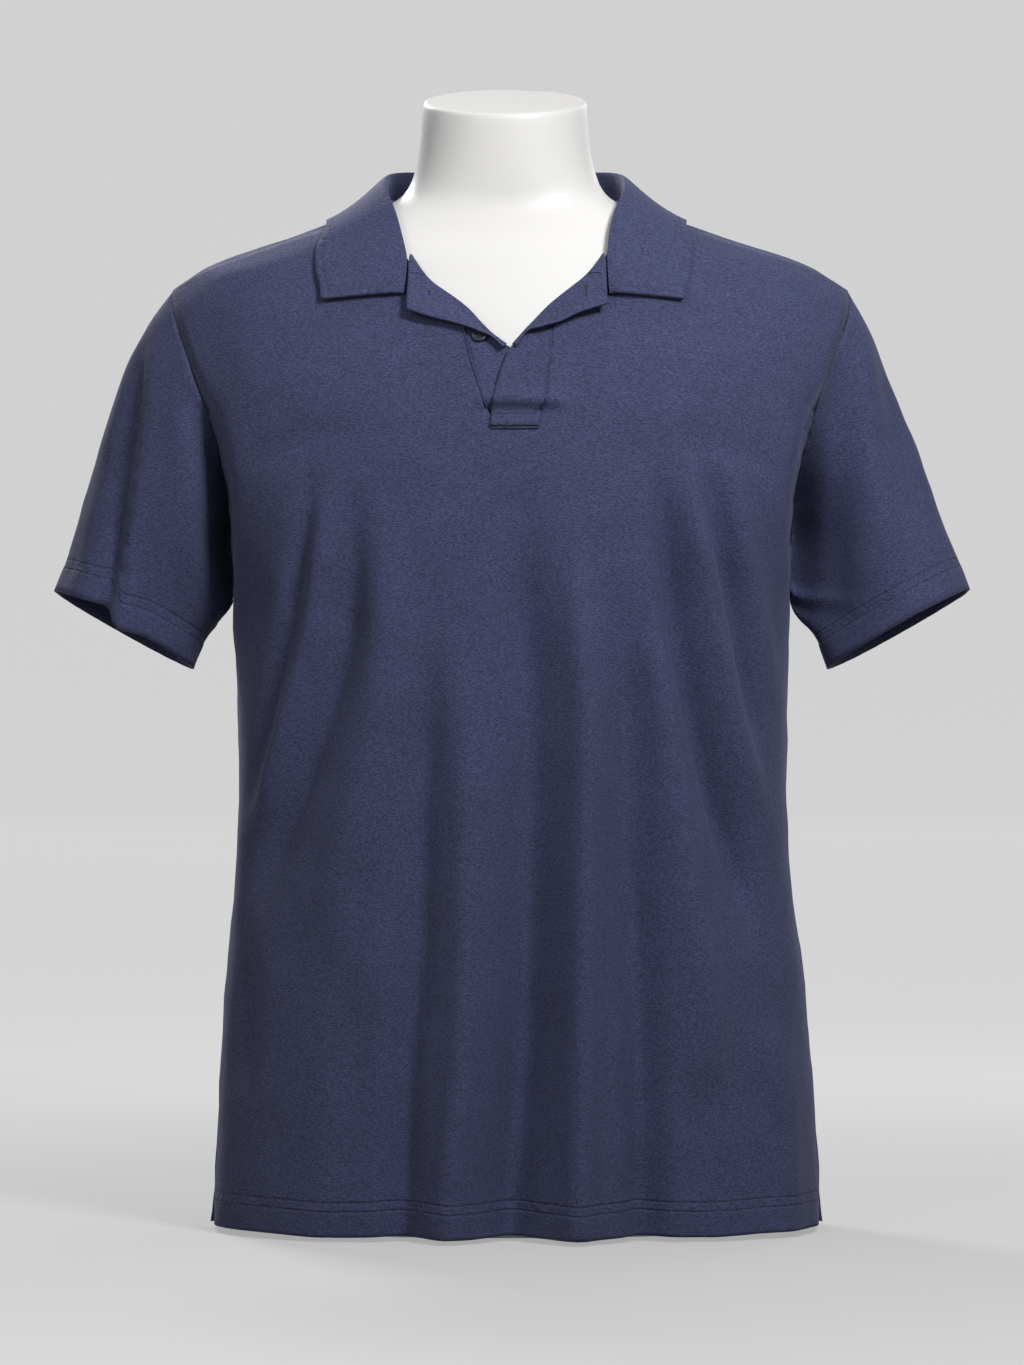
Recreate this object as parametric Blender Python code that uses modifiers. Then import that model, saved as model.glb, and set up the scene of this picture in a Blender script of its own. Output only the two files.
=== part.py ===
"""A knit polo shirt worn by a limbless dress form, at its real size.

The shirt is cut as a maker would cut it: front, back, two sleeves, a collar, two placket
strips and two buttons. Its placket is open, and the top corners are turned back like lapels.
The form is a smooth torso with a neck, and it stands on its flat base.

Frame: the origin is at the middle of the base, +Z is up, and the front faces -Y. Tables and
sizes are in millimetres, and a mesh is made in metres. The wearer's left is at +X.
"""

import math
from collections import namedtuple

import bmesh
import bpy
from mathutils import Matrix, Vector
from mathutils.bvhtree import BVHTree

MM = 0.001

# ---------------------------------------------------------------- driving sizes
CLOTH = 1.5  # wall of the single knit cloth
HEM_EXTRA = 0.7  # how much thicker the turned-up hems are
PLACKET_CLOTH = 1.8  # a placket strip is folded double
COLLAR_CLOTH = 2.2  # two layers and an interlining
SEAM_GAP = 0.3  # pieces stand this far apart at a seam

HEM_HEIGHT = 4.0  # the hem hangs this far above the floor
HEM_BAND = 20.0  # height of the turned-up body hem
HEM_SAG = 0.22  # how much lower the hem hangs for each millimetre that a fold stands out
VENT_HEIGHT = 52.0  # side vents at the hem
VENT_SPREAD = 5.0  # how far the vent's edges part at the hem
UNDERARM = 455.0
SHOULDER_TIP = 684.0  # top of the armhole, where the shoulder seam starts
NECK_SIDE = 749.0  # where the shoulder seam meets the collar
NECK_MIDDLE = -4.4  # the neck stands a little to the wearer's right

SLOT_BOTTOM = 588.0  # the front is slit from here up, for the placket
OPENING_FOOT = 636.0  # where the two turned-back edges cross

FRONT, BACK = -1, 1

# ---------------------------------------------------------------- grid sizes
SIDE_COLUMNS = 12  # from a side seam to the placket, or to the back's middle
SLOT_COLUMNS = 3
SEAM_ROWS = 12  # from the hem band to the underarm
ARMHOLE_ROWS = 11
SHOULDER_ROWS = 6
SHOULDER_LIFT = 210.0  # how steeply the rows at the shoulder's tip arch up to the neck
SLEEVE_RINGS = 11
FORM_COLUMNS = 36

# ---------------------------------------------------------------- tables
# The shirt's trunk: rings of a rounded box shape. Above the underarm the half width runs on
# inside the sleeves, and the armhole is cut out of it.
Ring = namedtuple("Ring", "height half_width front back squareness centre")
TRUNK = (
    Ring(4, 222, 119, 117, 2.35, 4.0),
    Ring(50, 220, 119, 117, 2.35, 4.0),
    Ring(107, 216, 119, 116, 2.35, 3.5),
    Ring(180, 212, 119, 114, 2.35, 3.0),
    Ring(225, 206, 119, 113, 2.35, 2.0),
    Ring(262, 201, 120, 113, 2.35, 1.5),
    Ring(330, 200, 123, 115, 2.4, 1.0),
    Ring(400, 201, 126, 120, 2.4, 1.0),
    Ring(455, 204, 129, 127, 2.4, 0.5),
    Ring(510, 225, 130, 132, 2.4, 0.0),
    Ring(567, 243, 127, 134, 2.4, 0.0),
    Ring(620, 252, 118, 131, 2.35, 0.0),
    Ring(654, 254, 106, 122, 2.25, 0.0),
    Ring(670, 252, 98, 116, 2.2, 0.0),
    Ring(684, 246, 91, 110, 2.1, 0.0),
    Ring(697, 231.5, 84, 103, 2.05, -1.0),
    Ring(709, 202.5, 77, 95, 2.0, -2.0),
    Ring(721, 163.5, 69, 86, 2.0, -2.7),
    Ring(734, 128, 60, 76, 2.0, -3.5),
    Ring(749, 85, 50, 64, 2.0, -4.4),
)

# The dress form, inside the shirt: hips, waist, chest, shoulders and neck.
FORM = (
    Ring(0, 158, 76, 86, 2.3, 0.0),
    Ring(60, 163, 82, 92, 2.3, 0.0),
    Ring(150, 168, 90, 96, 2.3, 0.0),
    Ring(300, 150, 90, 84, 2.3, 0.0),
    Ring(420, 166, 104, 100, 2.3, 0.0),
    Ring(520, 180, 113, 117, 2.3, 0.0),
    Ring(580, 194, 111, 122, 2.3, 0.0),
    Ring(630, 210, 102, 118, 2.25, 0.0),
    Ring(665, 220, 91, 108, 2.2, 0.0),
    Ring(689, 219, 80, 97, 2.1, -1.0),
    Ring(706, 200, 72, 90, 2.0, -2.0),
    Ring(717.5, 166, 63, 82, 2.0, -2.7),
    Ring(730.5, 130.5, 55, 73, 2.0, -3.5),
    Ring(742.5, 96.5, 50, 65, 2.0, -4.4),
    Ring(748.5, 80, 50, 61, 2.0, -4.4),
    Ring(756, 72, 51, 58, 2.0, -4.4),
    Ring(773, 65, 53, 56, 2.0, -4.4),
    Ring(800, 61.5, 55, 55, 2.0, -4.4),
    Ring(840, 59, 56, 55, 2.0, -4.4),
)
NECK_CAP = 822.5  # height of the neck's cut at its middle
NECK_CAP_TILT = 15.0  # degrees, lower in front
NECK_CAP_ROUND = 3.0

# Seen from the side the armhole is an egg: its reach to the front and to the back.
ARMHOLE_REACH = {FRONT: 76.0, BACK: 80.0}
EGG_SHIFT = 0.85  # below 1, the egg is wider under its middle
EGG_ROUND = 0.62

# How far the shoulder seam lies in front of the ridge, from the armhole to the neck.
Forward = namedtuple("Forward", "height reach")
SHOULDER_SEAM = (
    Forward(684, 4),
    Forward(690, 17),
    Forward(700, 24),
    Forward(727, 25),
    Forward(749, 12),
)

# The neckline of one half of the front, from the neck's middle: from the shoulder seam to
# the turned-back corner. From there it runs beside the line that the cloth is turned on.
Neck = namedtuple("Neck", "share x height")
FRONT_NECKLINE = (
    Neck(0.0, 82.5, 749.0),
    Neck(0.2, 83.0, 734.0),
    Neck(0.4, 79.5, 719.0),
    Neck(0.6, 72.0, 702.5),
)
SLOT_TOP = 665.0
BACK_NECK_HEIGHT = 738.0  # at the middle of the back

# The placket slit's edges, from the slit's foot to its top.
Edge = namedtuple("Edge", "height x")
SLOT_RIGHT_EDGE = (Edge(588, -15.5), Edge(607, -23.5), Edge(640, -31.0), Edge(665, -37.4))
SLOT_LEFT_EDGE = (Edge(588, 20.0), Edge(600, 24.5), Edge(640, 29.5), Edge(665, 32.6))

# Soft ridges of the cloth: a crest from a top point through a middle to a bottom point, seen
# from the front or the back, its height at both ends, and its half width.
Fold = namedtuple("Fold", "top x_top x_middle x_bottom bottom rise_top rise_bottom half_width")
FRONT_FOLDS = (
    Fold(520, -146, -172, -196, 235, 5.0, 5.0, 17),  # from the chest to the right side
    Fold(470, -84, -100, -132, -20, 3.0, 9.0, 30),
    Fold(430, -28, -30, -34, -20, 2.0, 9.0, 24),
    Fold(440, 42, 52, 45, -20, 3.0, 10.0, 25),
    Fold(470, 106, 112, 143, -20, 2.0, 8.0, 28),
    Fold(540, 142, 168, 198, 225, 4.0, 5.0, 17),  # from the chest to the left side
    Fold(600, 20, 22, 24, 580, 3.0, 0.0, 22),  # the pouch over the placket's box
)
BACK_FOLDS = (
    Fold(560, -120, -158, -192, 230, 5.0, 4.0, 20),
    Fold(480, -84, -92, -112, -20, 2.0, 9.0, 28),
    Fold(430, -18, -12, -22, -20, 2.0, 8.0, 26),
    Fold(470, 66, 60, 66, -20, 3.0, 9.0, 26),
    Fold(420, 126, 132, 148, -20, 2.0, 7.0, 26),
    Fold(560, 118, 156, 190, 235, 5.0, 4.0, 20),
)

# Sleeve hem: an ellipse, seen from the front as a slanted line.
SLEEVE_HEM_CENTRE = Vector((283.0, 2.0, 437.0))
SLEEVE_HEM_HALF_WIDTH = 59.5
SLEEVE_HEM_HALF_DEPTH = 52.0
SLEEVE_HEM_SLANT = 29.0  # degrees, higher at the outside
SLEEVE_FALL = 21.0  # degrees that the sleeve's run leans out at its hem
SLEEVE_HEM_TURN = 5.5  # degrees, higher in front
SLEEVE_BAND = 19.0
SLEEVE_LEAN = 0.3  # the least that its lower half leaves the trunk's surface
SLEEVE_SWING = {-1: 0.60, 1: 0.29}  # how far each sleeve leaves the armhole outwards

# Ridges along each sleeve: degrees round from its top line by the front, how high at the
# hem, and the half width in degrees.
SleeveFold = namedtuple("SleeveFold", "around rise half_width")
SLEEVE_FOLDS = {
    -1: (SleeveFold(62, 7.0, 17), SleeveFold(25, -4.0, 18), SleeveFold(235, 4.0, 25)),
    1: (SleeveFold(75, 4.0, 26), SleeveFold(130, -3.0, 24), SleeveFold(250, 4.0, 25)),
}

# The collar from the middle of the back (0) to its front end (1): how far along the neckline
# its seam is (1 at the shoulder seam), the roll that it folds over, and its outer edge, as a
# turn round the trunk (90 at the back, 0 on the ridge, negative in front), its height and how
# far it stands off.
Station = namedtuple(
    "Station", "share neck roll_x roll_y roll_height edge_turn edge_height stand_off"
)
COLLAR = (
    Station(0.00, 0.00, 0, 74, 774.5, 90, 712, 2.6),
    Station(0.14, 0.28, 35, 69, 775, 76, 712.5, 2.8),
    Station(0.28, 0.56, 66.5, 52, 775.5, 58, 717, 3.4),
    Station(0.42, 0.84, 87, 20, 770.5, 24, 729.5, 3.8),
    Station(0.50, 1.00, 88, -8, 762, -8, 733, 3.6),
    Station(0.58, 1.10, 85.5, -28, 753, -30, 726, 3.6),
    Station(0.66, 1.20, 80.5, -45, 742.5, -43.5, 714, 3.6),
    Station(0.74, 1.37, 76, -60, 727.5, -52.5, 700, 3.8),
    Station(0.82, 1.50, 72.6, -72, 713, -56.5, 687, 4.0),
    Station(0.88, 1.60, 70.2, -80, 704, -58.5, 679, 4.5),
    Station(1.00, 1.80, 71.8, -96, 676, -60.0, 670, 5.5),
)
LEFT_EDGE_TURN = 3.2  # the left front point of the collar reaches less far, in degrees
GORGE_SHIFT = {-1: 0.0, 1: 3.0}  # the left front end of the collar reaches further out
COLLAR_STATIONS = 18  # from the back's middle to one front end
STAND_SHARES = (0.0, 0.35, 0.7, 0.9)  # rows from the neck seam to the roll
FALL_SHARES = (0.0, 0.07, 0.17, 0.3, 0.48, 0.7, 0.88, 1.0)  # and from there to the edge
COLLAR_CLEARANCE = 2.4
COLLAR_LIP = 2.5

# Each turned-back corner, seen from the front: the roll line that it is turned on and its
# free edge, from the foot of the opening to the collar, and how far the free edge stands off.
Corner = namedtuple("Corner", "share roll_x roll_height edge_x edge_height stand_off")
TURNED_RIGHT = (
    Corner(0.00, 3.0, 638.5, 6.2, 635.6, 2.2),
    Corner(0.20, 12.5, 647.5, 16, 646.0, 5.0),
    Corner(0.40, 26.5, 661.5, 33, 653.0, 7.0),
    Corner(0.60, 43.0, 675.0, 48, 657.0, 8.0),
    Corner(0.80, 58.5, 686.0, 62, 659.0, 9.0),
    Corner(1.00, 70.6, 704.0, 73, 661.6, 10.0),
)
TURNED_LEFT = (
    Corner(0.00, 0.8, 638.5, 4.0, 635.6, 2.2),
    Corner(0.20, 9.8, 649.0, 13, 647.3, 5.0),
    Corner(0.40, 24.5, 665.0, 32, 655.8, 7.0),
    Corner(0.60, 40.5, 678.5, 46, 660.3, 8.0),
    Corner(0.80, 54.5, 690.0, 58, 663.3, 9.0),
    Corner(1.00, 64.8, 704.5, 67.6, 665.0, 10.0),
)
ROLL_GAP = 1.2  # clear gap inside the turn
TURN_SIZE = ROLL_GAP / 2 + PLACKET_CLOTH  # from the roll line to the turn's middle

BUTTON_WIDTH = 11.2
BUTTON_THICKNESS = 2.4
UNDER_BUTTON = (-22.5, 645.0)  # x and height, on the under placket
TURNED_BUTTON = (7, 6)  # station and column of the turned-back right corner's grid

NAVY = (0.045, 0.052, 0.110, 1.0)
FORM_WHITE = (0.86, 0.85, 0.83, 1.0)
BUTTON_NAVY = (0.035, 0.038, 0.055, 1.0)


# ---------------------------------------------------------------- helpers
def clear_scene():
    for old in list(bpy.data.objects):
        bpy.data.objects.remove(old)


def material(name, colour, roughness):
    made = bpy.data.materials.new(name)
    made.use_nodes = True
    shader = made.node_tree.nodes["Principled BSDF"]
    shader.inputs["Base Color"].default_value = colour
    shader.inputs["Roughness"].default_value = roughness
    shader.inputs["Metallic"].default_value = 0.0
    return made


def read(table, where, column):
    """A column's value between a table's rows, on a smooth curve that doesn't overshoot."""
    at = [row[0] for row in table]
    value = [getattr(row, column) for row in table]
    if (where - at[0]) * (at[-1] - at[0]) <= 0:
        return value[0]
    for i in range(len(at) - 1):
        if (where - at[i]) * (where - at[i + 1]) <= 0:
            break
    else:
        return value[-1]

    def slope(k):
        if k in (0, len(at) - 1):
            j = min(k, len(at) - 2)
            return (value[j + 1] - value[j]) / (at[j + 1] - at[j])
        before = (value[k] - value[k - 1]) / (at[k] - at[k - 1])
        after = (value[k + 1] - value[k]) / (at[k + 1] - at[k])
        return 0.0 if before * after <= 0 else 2 * before * after / (before + after)

    span = at[i + 1] - at[i]
    t = (where - at[i]) / span
    return hermite(value[i], slope(i) * span, value[i + 1], slope(i + 1) * span, t)


def hermite(start, start_pull, end, end_pull, t):
    """A cubic from start to end that leaves and arrives along the two pulls."""
    return (
        start * (2 * t**3 - 3 * t**2 + 1)
        + start_pull * (t**3 - 2 * t**2 + t)
        + end * (3 * t**2 - 2 * t**3)
        + end_pull * (t**3 - t**2)
    )


def ease(t):
    """0 below 0, 1 above 1, and a soft step between."""
    t = min(max(t, 0.0), 1.0)
    return t * t * (3 - 2 * t)


def mix(a, b, t):
    return a + (b - a) * t


# ---------------------------------------------------------------- trunk shape
def ring_point(table, face, angle, height):
    """A point of a ringed shape, and its outward normal. The angle runs from 0 at the
    wearer's left side, over 90 degrees at the middle, to 180 at the right side."""
    n = read(table, height, "squareness")
    wide = read(table, height, "half_width")
    column = "front" if face == FRONT else "back"
    deep = read(table, height, column)
    c, s = math.cos(angle), math.sin(angle)
    x = math.copysign(abs(c) ** (2 / n), c)
    y = face * abs(s) ** (2 / n)
    step = 0.5
    wider = (read(table, height + step, "half_width") - wide) / step
    deeper = (read(table, height + step, column) - deep) / step
    normal = Vector(
        (
            math.copysign(abs(x) ** (n - 1), x) / wide,
            math.copysign(abs(y) ** (n - 1), y) / deep,
            -(abs(x) ** n * wider / wide + abs(y) ** n * deeper / deep),
        )
    ).normalized()
    centre = read(table, height, "centre")
    return Vector((x * wide + centre, y * deep, height)), normal


def angle_of(x, height):
    """The trunk angle whose point lies at x, seen from the front or the back."""
    n = read(TRUNK, height, "squareness")
    share = (x - read(TRUNK, height, "centre")) / read(TRUNK, height, "half_width")
    share = min(max(share, -1.0), 1.0)
    return math.acos(math.copysign(abs(share) ** (n / 2), share))


def fold_rise(face, x, height):
    """How far the cloth's soft ridges stand out at a place."""
    rise = 0.0
    for fold in FRONT_FOLDS if face == FRONT else BACK_FOLDS:
        along = (fold.top - height) / (fold.top - fold.bottom)
        if not -0.15 < along < 1.15:
            continue
        inside = min(max(along, 0.0), 1.0)
        crest = (
            fold.x_top * (1 - inside) * (1 - 2 * inside)
            + fold.x_middle * 4 * inside * (1 - inside)
            + fold.x_bottom * inside * (2 * inside - 1)
        )
        fade = ease((along + 0.15) / 0.3) * ease((1.15 - along) / 0.25)
        size = mix(fold.rise_top, fold.rise_bottom, inside) * fade
        rise += size * math.exp(-(((x - crest) / fold.half_width) ** 2))
    return rise


def trunk_point(face, angle, height, lift=0.0):
    """A point of the shirt's outer face, folds and all, or lift millimetres above it, and
    the normal that its wall is thick along. An angle past a side runs on onto the other
    face."""
    if angle < 0:
        face, angle = -face, -angle
    elif angle > math.pi:
        face, angle = -face, 2 * math.pi - angle
    bare, normal = ring_point(TRUNK, face, angle, height)
    side = ease(abs(math.sin(angle)) / 0.35)  # folds fade out at the side seams
    rise = fold_rise(face, bare.x, height) * side
    return bare + normal * (rise + lift), normal


def on_front(x, height, lift=0.0):
    return trunk_point(FRONT, angle_of(x, height), height, lift)[0]


# ---------------------------------------------------------------- walls
def wall(name, outer, inner, paint, keep=None, closed=False):
    """One closed solid between a grid of outer points and the same grid of inner points.
    keep says which cells exist, and closed joins the last column to the first."""
    rows, columns = len(outer), len(outer[0])
    across = columns if closed else columns - 1
    cells = {
        (r, c)
        for r in range(rows - 1)
        for c in range(across)
        if keep is None or keep(r, c)
    }
    mesh = bmesh.new()
    made = {}

    def corner(grid, r, c):
        key = (grid is outer, r, c % columns)
        if key not in made:
            made[key] = mesh.verts.new(grid[r][c % columns] * MM)
        return made[key]

    def face(*corners):
        mesh.faces.new(corners)

    for r, c in sorted(cells):
        ring = ((r, c), (r, c + 1), (r + 1, c + 1), (r + 1, c))
        p, q, u, v = (outer[at[0]][at[1] % columns] for at in ring)
        if (p - u).length > (q - v).length:  # both faces are cut along the same diagonal
            halves = ((ring[0], ring[1], ring[3]), (ring[1], ring[2], ring[3]))
        else:
            halves = ((ring[0], ring[1], ring[2]), (ring[0], ring[2], ring[3]))
        for half in halves:
            face(*(corner(outer, *at) for at in half))
            face(*(corner(inner, *at) for at in reversed(half)))
        beyond = ((r - 1, c), (r, c + 1), (r + 1, c), (r, c - 1))
        for (start, end), (row, column) in zip(zip(ring, ring[1:] + ring[:1]), beyond):
            if closed:
                column %= columns
            if (row, column) not in cells:
                face(
                    corner(outer, *end),
                    corner(outer, *start),
                    corner(inner, *start),
                    corner(inner, *end),
                )
    return finish(name, mesh, paint)


def finish(name, mesh, paint):
    """The bmesh as a named object in the shirt's collection."""
    bmesh.ops.recalc_face_normals(mesh, faces=mesh.faces)
    data = bpy.data.meshes.new(name)
    mesh.to_mesh(data)
    mesh.free()
    data.materials.append(paint)
    data.shade_smooth()
    data.set_sharp_from_angle(angle=math.radians(50))
    made = bpy.data.objects.new(name, data)
    bpy.data.collections["polo_shirt_on_form"].objects.link(made)
    return made


def sheet_normals(grid, closed=False):
    """A normal for each point of a grid, from the points round it."""
    rows, columns = len(grid), len(grid[0])
    normals = []
    for r in range(rows):
        line = []
        for c in range(columns):
            up = grid[min(r + 1, rows - 1)][c] - grid[max(r - 1, 0)][c]
            if closed:
                side = grid[r][(c + 1) % columns] - grid[r][c - 1]
            else:
                side = grid[r][min(c + 1, columns - 1)] - grid[r][max(c - 1, 0)]
            line.append(side.cross(up).normalized())
        normals.append(line)
    return normals


# ---------------------------------------------------------------- panels
def armhole_edge(face, row):
    """The angle, from the nearer side, and the height of a panel's armhole edge at one of
    its rows. Rows are closer at the underarm and at the top."""
    rise = SHOULDER_TIP - UNDERARM
    height = UNDERARM + rise * (1 - math.cos(math.pi * row / ARMHOLE_ROWS)) / 2
    if row == ARMHOLE_ROWS:
        return -face * angle_at_depth(FRONT, SHOULDER_SEAM[0].reach, height), height
    return armhole_angle(face, height), height


def armhole_angle(face, height):
    """The trunk angle of the armhole's edge, from the nearer side, at a height."""
    share = (height - UNDERARM) / (SHOULDER_TIP - UNDERARM)
    share = min(max(share, 0.0), 1.0)
    reach = ARMHOLE_REACH[face] * math.sin(math.pi * share**EGG_SHIFT) ** EGG_ROUND
    return angle_at_depth(face, reach, height)


def angle_at_depth(face, depth, height):
    """The trunk angle, from the nearer side, whose point lies this far from the middle."""
    deep = read(TRUNK, height, "front" if face == FRONT else "back")
    n = read(TRUNK, height, "squareness")
    return math.asin(min((max(depth, 0.0) / deep) ** (n / 2), 1.0))


def panel_side(face):
    """A panel's (angle from the side, height) up its side seam, its armhole and its shoulder
    seam."""
    band_top = HEM_HEIGHT + HEM_BAND
    edge = [(0.0, height) for height in (HEM_HEIGHT, HEM_HEIGHT + HEM_BAND / 2, band_top)]
    above = band_top + 1.5
    edge += [(0.0, mix(above, UNDERARM, i / SEAM_ROWS)) for i in range(SEAM_ROWS + 1)]
    edge += [armhole_edge(face, row) for row in range(1, ARMHOLE_ROWS + 1)]
    for i in range(1, SHOULDER_ROWS + 1):
        height = mix(SHOULDER_TIP, NECK_SIDE, i / SHOULDER_ROWS)
        angle = angle_at_depth(FRONT, read(SHOULDER_SEAM, height, "reach"), height)
        edge.append((-face * angle, height))
    return edge


def middle_heights(sides, top, slot_bottom):
    """Heights of the same rows at a panel's middle: they droop towards the neckline."""
    underarm_row = 3 + SEAM_ROWS
    shoulder_row = underarm_row + ARMHOLE_ROWS
    band_rows = 4
    low, high = sides[band_rows - 1][1], UNDERARM - 40
    made = []
    for row, (_, height) in enumerate(sides):
        if row < band_rows:
            made.append(height)
        elif row <= underarm_row:
            share = (row - band_rows + 1) / (underarm_row - band_rows + 1)
            made.append(mix(low, high, share))
        elif row <= shoulder_row:
            made.append(mix(high, slot_bottom, (row - underarm_row) / ARMHOLE_ROWS))
        else:
            made.append(mix(slot_bottom, top, (row - shoulder_row) / SHOULDER_ROWS))
    return made


def half_panel(face, middle_angle, middle, necklines):
    """Rows of (angle, height) from the wearer's right side seam to a panel's middle line.
    necklines gives the neckline's (angle, height) by its share from the shoulder."""
    sides = panel_side(face)
    rows = []
    corner, end = Vector(necklines(0.0)), Vector(necklines(1.0))
    for row, (off, height) in enumerate(sides):
        side = math.pi - off
        bend = ease((row - SEAM_ROWS) / (len(sides) - 1 - SEAM_ROWS))
        past_tip = row - (3 + SEAM_ROWS + ARMHOLE_ROWS)
        lift = SHOULDER_LIFT * (
            ease(1 + past_tip / 7) if past_tip < 0 else (1 - past_tip / SHOULDER_ROWS) ** 1.6
        )
        line = []
        for column in range(SIDE_COLUMNS + 1):
            u = column / SIDE_COLUMNS
            u *= 1.3 - 0.3 * u  # columns are closer near the middle
            plain = Vector((mix(side, middle_angle(middle[row]), u), mix(height, middle[row], u)))
            curve = Vector(necklines(u)) - corner.lerp(end, u)
            line.append(plain + curve * bend + Vector((0, lift * u * (1 - u) ** 2)))
        rows.append(line)
    return rows


def panel_points(face, rows):
    """Outer and inner points of a panel from its rows of (angle, height)."""
    outer, inner = [], []
    band_top = HEM_HEIGHT + HEM_BAND
    for line in rows:
        outer_line, inner_line = [], []
        for at in line:
            angle, height = at
            point, normal = trunk_point(face, angle, height)
            thick = CLOTH
            if height <= band_top + 0.1:
                point += normal * HEM_EXTRA
                thick += HEM_EXTRA
                sag = HEM_SAG * (fold_rise(face, point.x, height) - 4)
                point.z -= sag * (band_top - height) / HEM_BAND
            outer_line.append(point)
            inner_line.append(point - normal * thick)
        for end in (0, -1):
            part_from_seam(face, line[end].y, outer_line, inner_line, end)
        outer.append(outer_line)
        inner.append(inner_line)
    return outer, inner


def part_from_seam(face, height, outer_line, inner_line, end):
    """Moves a row's end half a gap off the side or shoulder seam, and parts the side vent."""
    shift = Vector((0, face * SEAM_GAP / 2, 0))
    if height < HEM_HEIGHT + VENT_HEIGHT:
        spread = VENT_SPREAD * (1 - (height - HEM_HEIGHT) / VENT_HEIGHT) ** 1.3
        outside = math.copysign(1, outer_line[end].x)
        if face == FRONT:
            shift += Vector((-outside * 0.5 * spread, -spread, 0))
        else:
            shift += Vector((outside * 0.8 * spread, 0, 0))
    outer_line[end] = outer_line[end] + shift
    inner_line[end] = inner_line[end] + shift


def mirrored(line):
    """The same row on the wearer's left, from the middle outwards."""
    return [Vector((math.pi - at.x, at.y)) for at in reversed(line)]


def front_neckline(side, share):
    """The front's neckline, seen from the front, from the shoulder seam to the slit's top."""
    upper = FRONT_NECKLINE[-1].share
    x = NECK_MIDDLE + side * read(FRONT_NECKLINE, share, "x")
    height = read(FRONT_NECKLINE, share, "height")
    if share <= upper:
        return x, height
    corners, slot_edge = (
        (TURNED_LEFT, SLOT_LEFT_EDGE) if side > 0 else (TURNED_RIGHT, SLOT_RIGHT_EDGE)
    )
    foot = share_at_height(corners, SLOT_TOP + 2 * TURN_SIZE)
    down = (share - upper) / (1 - upper)
    roll, out = roll_line(corners, side, mix(1.0, foot, down))
    at = roll + out * (TURN_SIZE + SEAM_GAP * 5)
    start, end = Vector((x, height)), Vector((slot_x(slot_edge, SLOT_TOP), SLOT_TOP))
    return tuple(start.lerp(at, ease(down * 6)).lerp(end, ease(down * 5 - 4)))


def slot_x(slot_edge, height):
    """Where the placket slit's edge lies. It runs straight from row to row."""
    step = (SLOT_TOP - SLOT_BOTTOM) / SHOULDER_ROWS
    place = min(max((height - SLOT_BOTTOM) / step, 0.0), SHOULDER_ROWS)
    row = min(int(place), SHOULDER_ROWS - 1)
    low = read(slot_edge, SLOT_BOTTOM + row * step, "x")
    high = read(slot_edge, SLOT_BOTTOM + (row + 1) * step, "x")
    return mix(low, high, place - row)


def front_panel(paint):
    """The front, slit down to the placket's foot, its neckline along the turned-back edge."""
    middle = middle_heights(panel_side(FRONT), SLOT_TOP, SLOT_BOTTOM)
    seam_end = angle_at_depth(FRONT, SHOULDER_SEAM[-1].reach, NECK_SIDE)

    def halves(slot_edge, side):
        def neckline(share):
            x, height = front_neckline(side, share)
            angle = angle_of(x, height)
            angle = angle if side < 0 else math.pi - angle
            return (mix(math.pi - seam_end, angle, ease(share * 8)), height)

        def slot_angle(height):
            angle = angle_of(slot_x(slot_edge, height), height)
            return angle if side < 0 else math.pi - angle

        return half_panel(FRONT, slot_angle, middle, neckline)

    right = halves(SLOT_RIGHT_EDGE, -1)
    left = halves(SLOT_LEFT_EDGE, 1)
    rows = []
    for right_line, left_line in zip(right, left):
        left_line = mirrored(left_line)
        first, last = right_line[-1], left_line[0]
        between = [first.lerp(last, i / SLOT_COLUMNS) for i in range(1, SLOT_COLUMNS)]
        rows.append(right_line + between + left_line)
    slot_row = 3 + SEAM_ROWS + ARMHOLE_ROWS

    def keep(row, column):
        in_slot = SIDE_COLUMNS <= column < SIDE_COLUMNS + SLOT_COLUMNS
        return not (in_slot and row >= slot_row)

    outer, inner = panel_points(FRONT, rows)
    return wall("front", outer, inner, paint, keep), outer


def back_panel(paint):
    middle = middle_heights(panel_side(BACK), BACK_NECK_HEIGHT, 610.0)
    seam_end = angle_at_depth(FRONT, SHOULDER_SEAM[-1].reach, NECK_SIDE)

    def neckline(share):
        height = mix(NECK_SIDE, BACK_NECK_HEIGHT, ease(share))
        return (mix(math.pi + seam_end, math.pi / 2, share), height)

    right = half_panel(BACK, lambda height: math.pi / 2, middle, neckline)
    rows = [line + mirrored(line)[1:] for line in right]
    outer, inner = panel_points(BACK, rows)
    return wall("back", outer, inner, paint), outer


# ---------------------------------------------------------------- sleeves
def armhole_ring(side):
    """The armhole's points and the trunk's normals there, from the shoulder seam down the
    front, round the underarm and up the back."""
    ring = []
    for face, rows in (
        (FRONT, range(ARMHOLE_ROWS, -1, -1)),
        (BACK, range(1, ARMHOLE_ROWS)),
    ):
        for row in rows:
            angle, height = armhole_edge(face, row)
            if side < 0:
                angle = math.pi - angle
            ring.append(trunk_point(face, angle, height))
    return ring


def sleeve_hem_frame(side):
    """The hem's middle, its directions to the outside and to the front, and the sleeve's."""
    slant, turn = math.radians(SLEEVE_HEM_SLANT), math.radians(SLEEVE_HEM_TURN)
    fall = math.radians(SLEEVE_FALL)
    outside = Vector((side * math.cos(slant), 0, math.sin(slant)))
    front = Vector((0, -math.cos(turn), math.sin(turn)))
    down = Vector((side * math.sin(fall), -math.sin(turn) * math.cos(fall), -math.cos(fall)))
    centre = Vector((side * SLEEVE_HEM_CENTRE.x, SLEEVE_HEM_CENTRE.y, SLEEVE_HEM_CENTRE.z))
    return centre, outside, front, down


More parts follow.
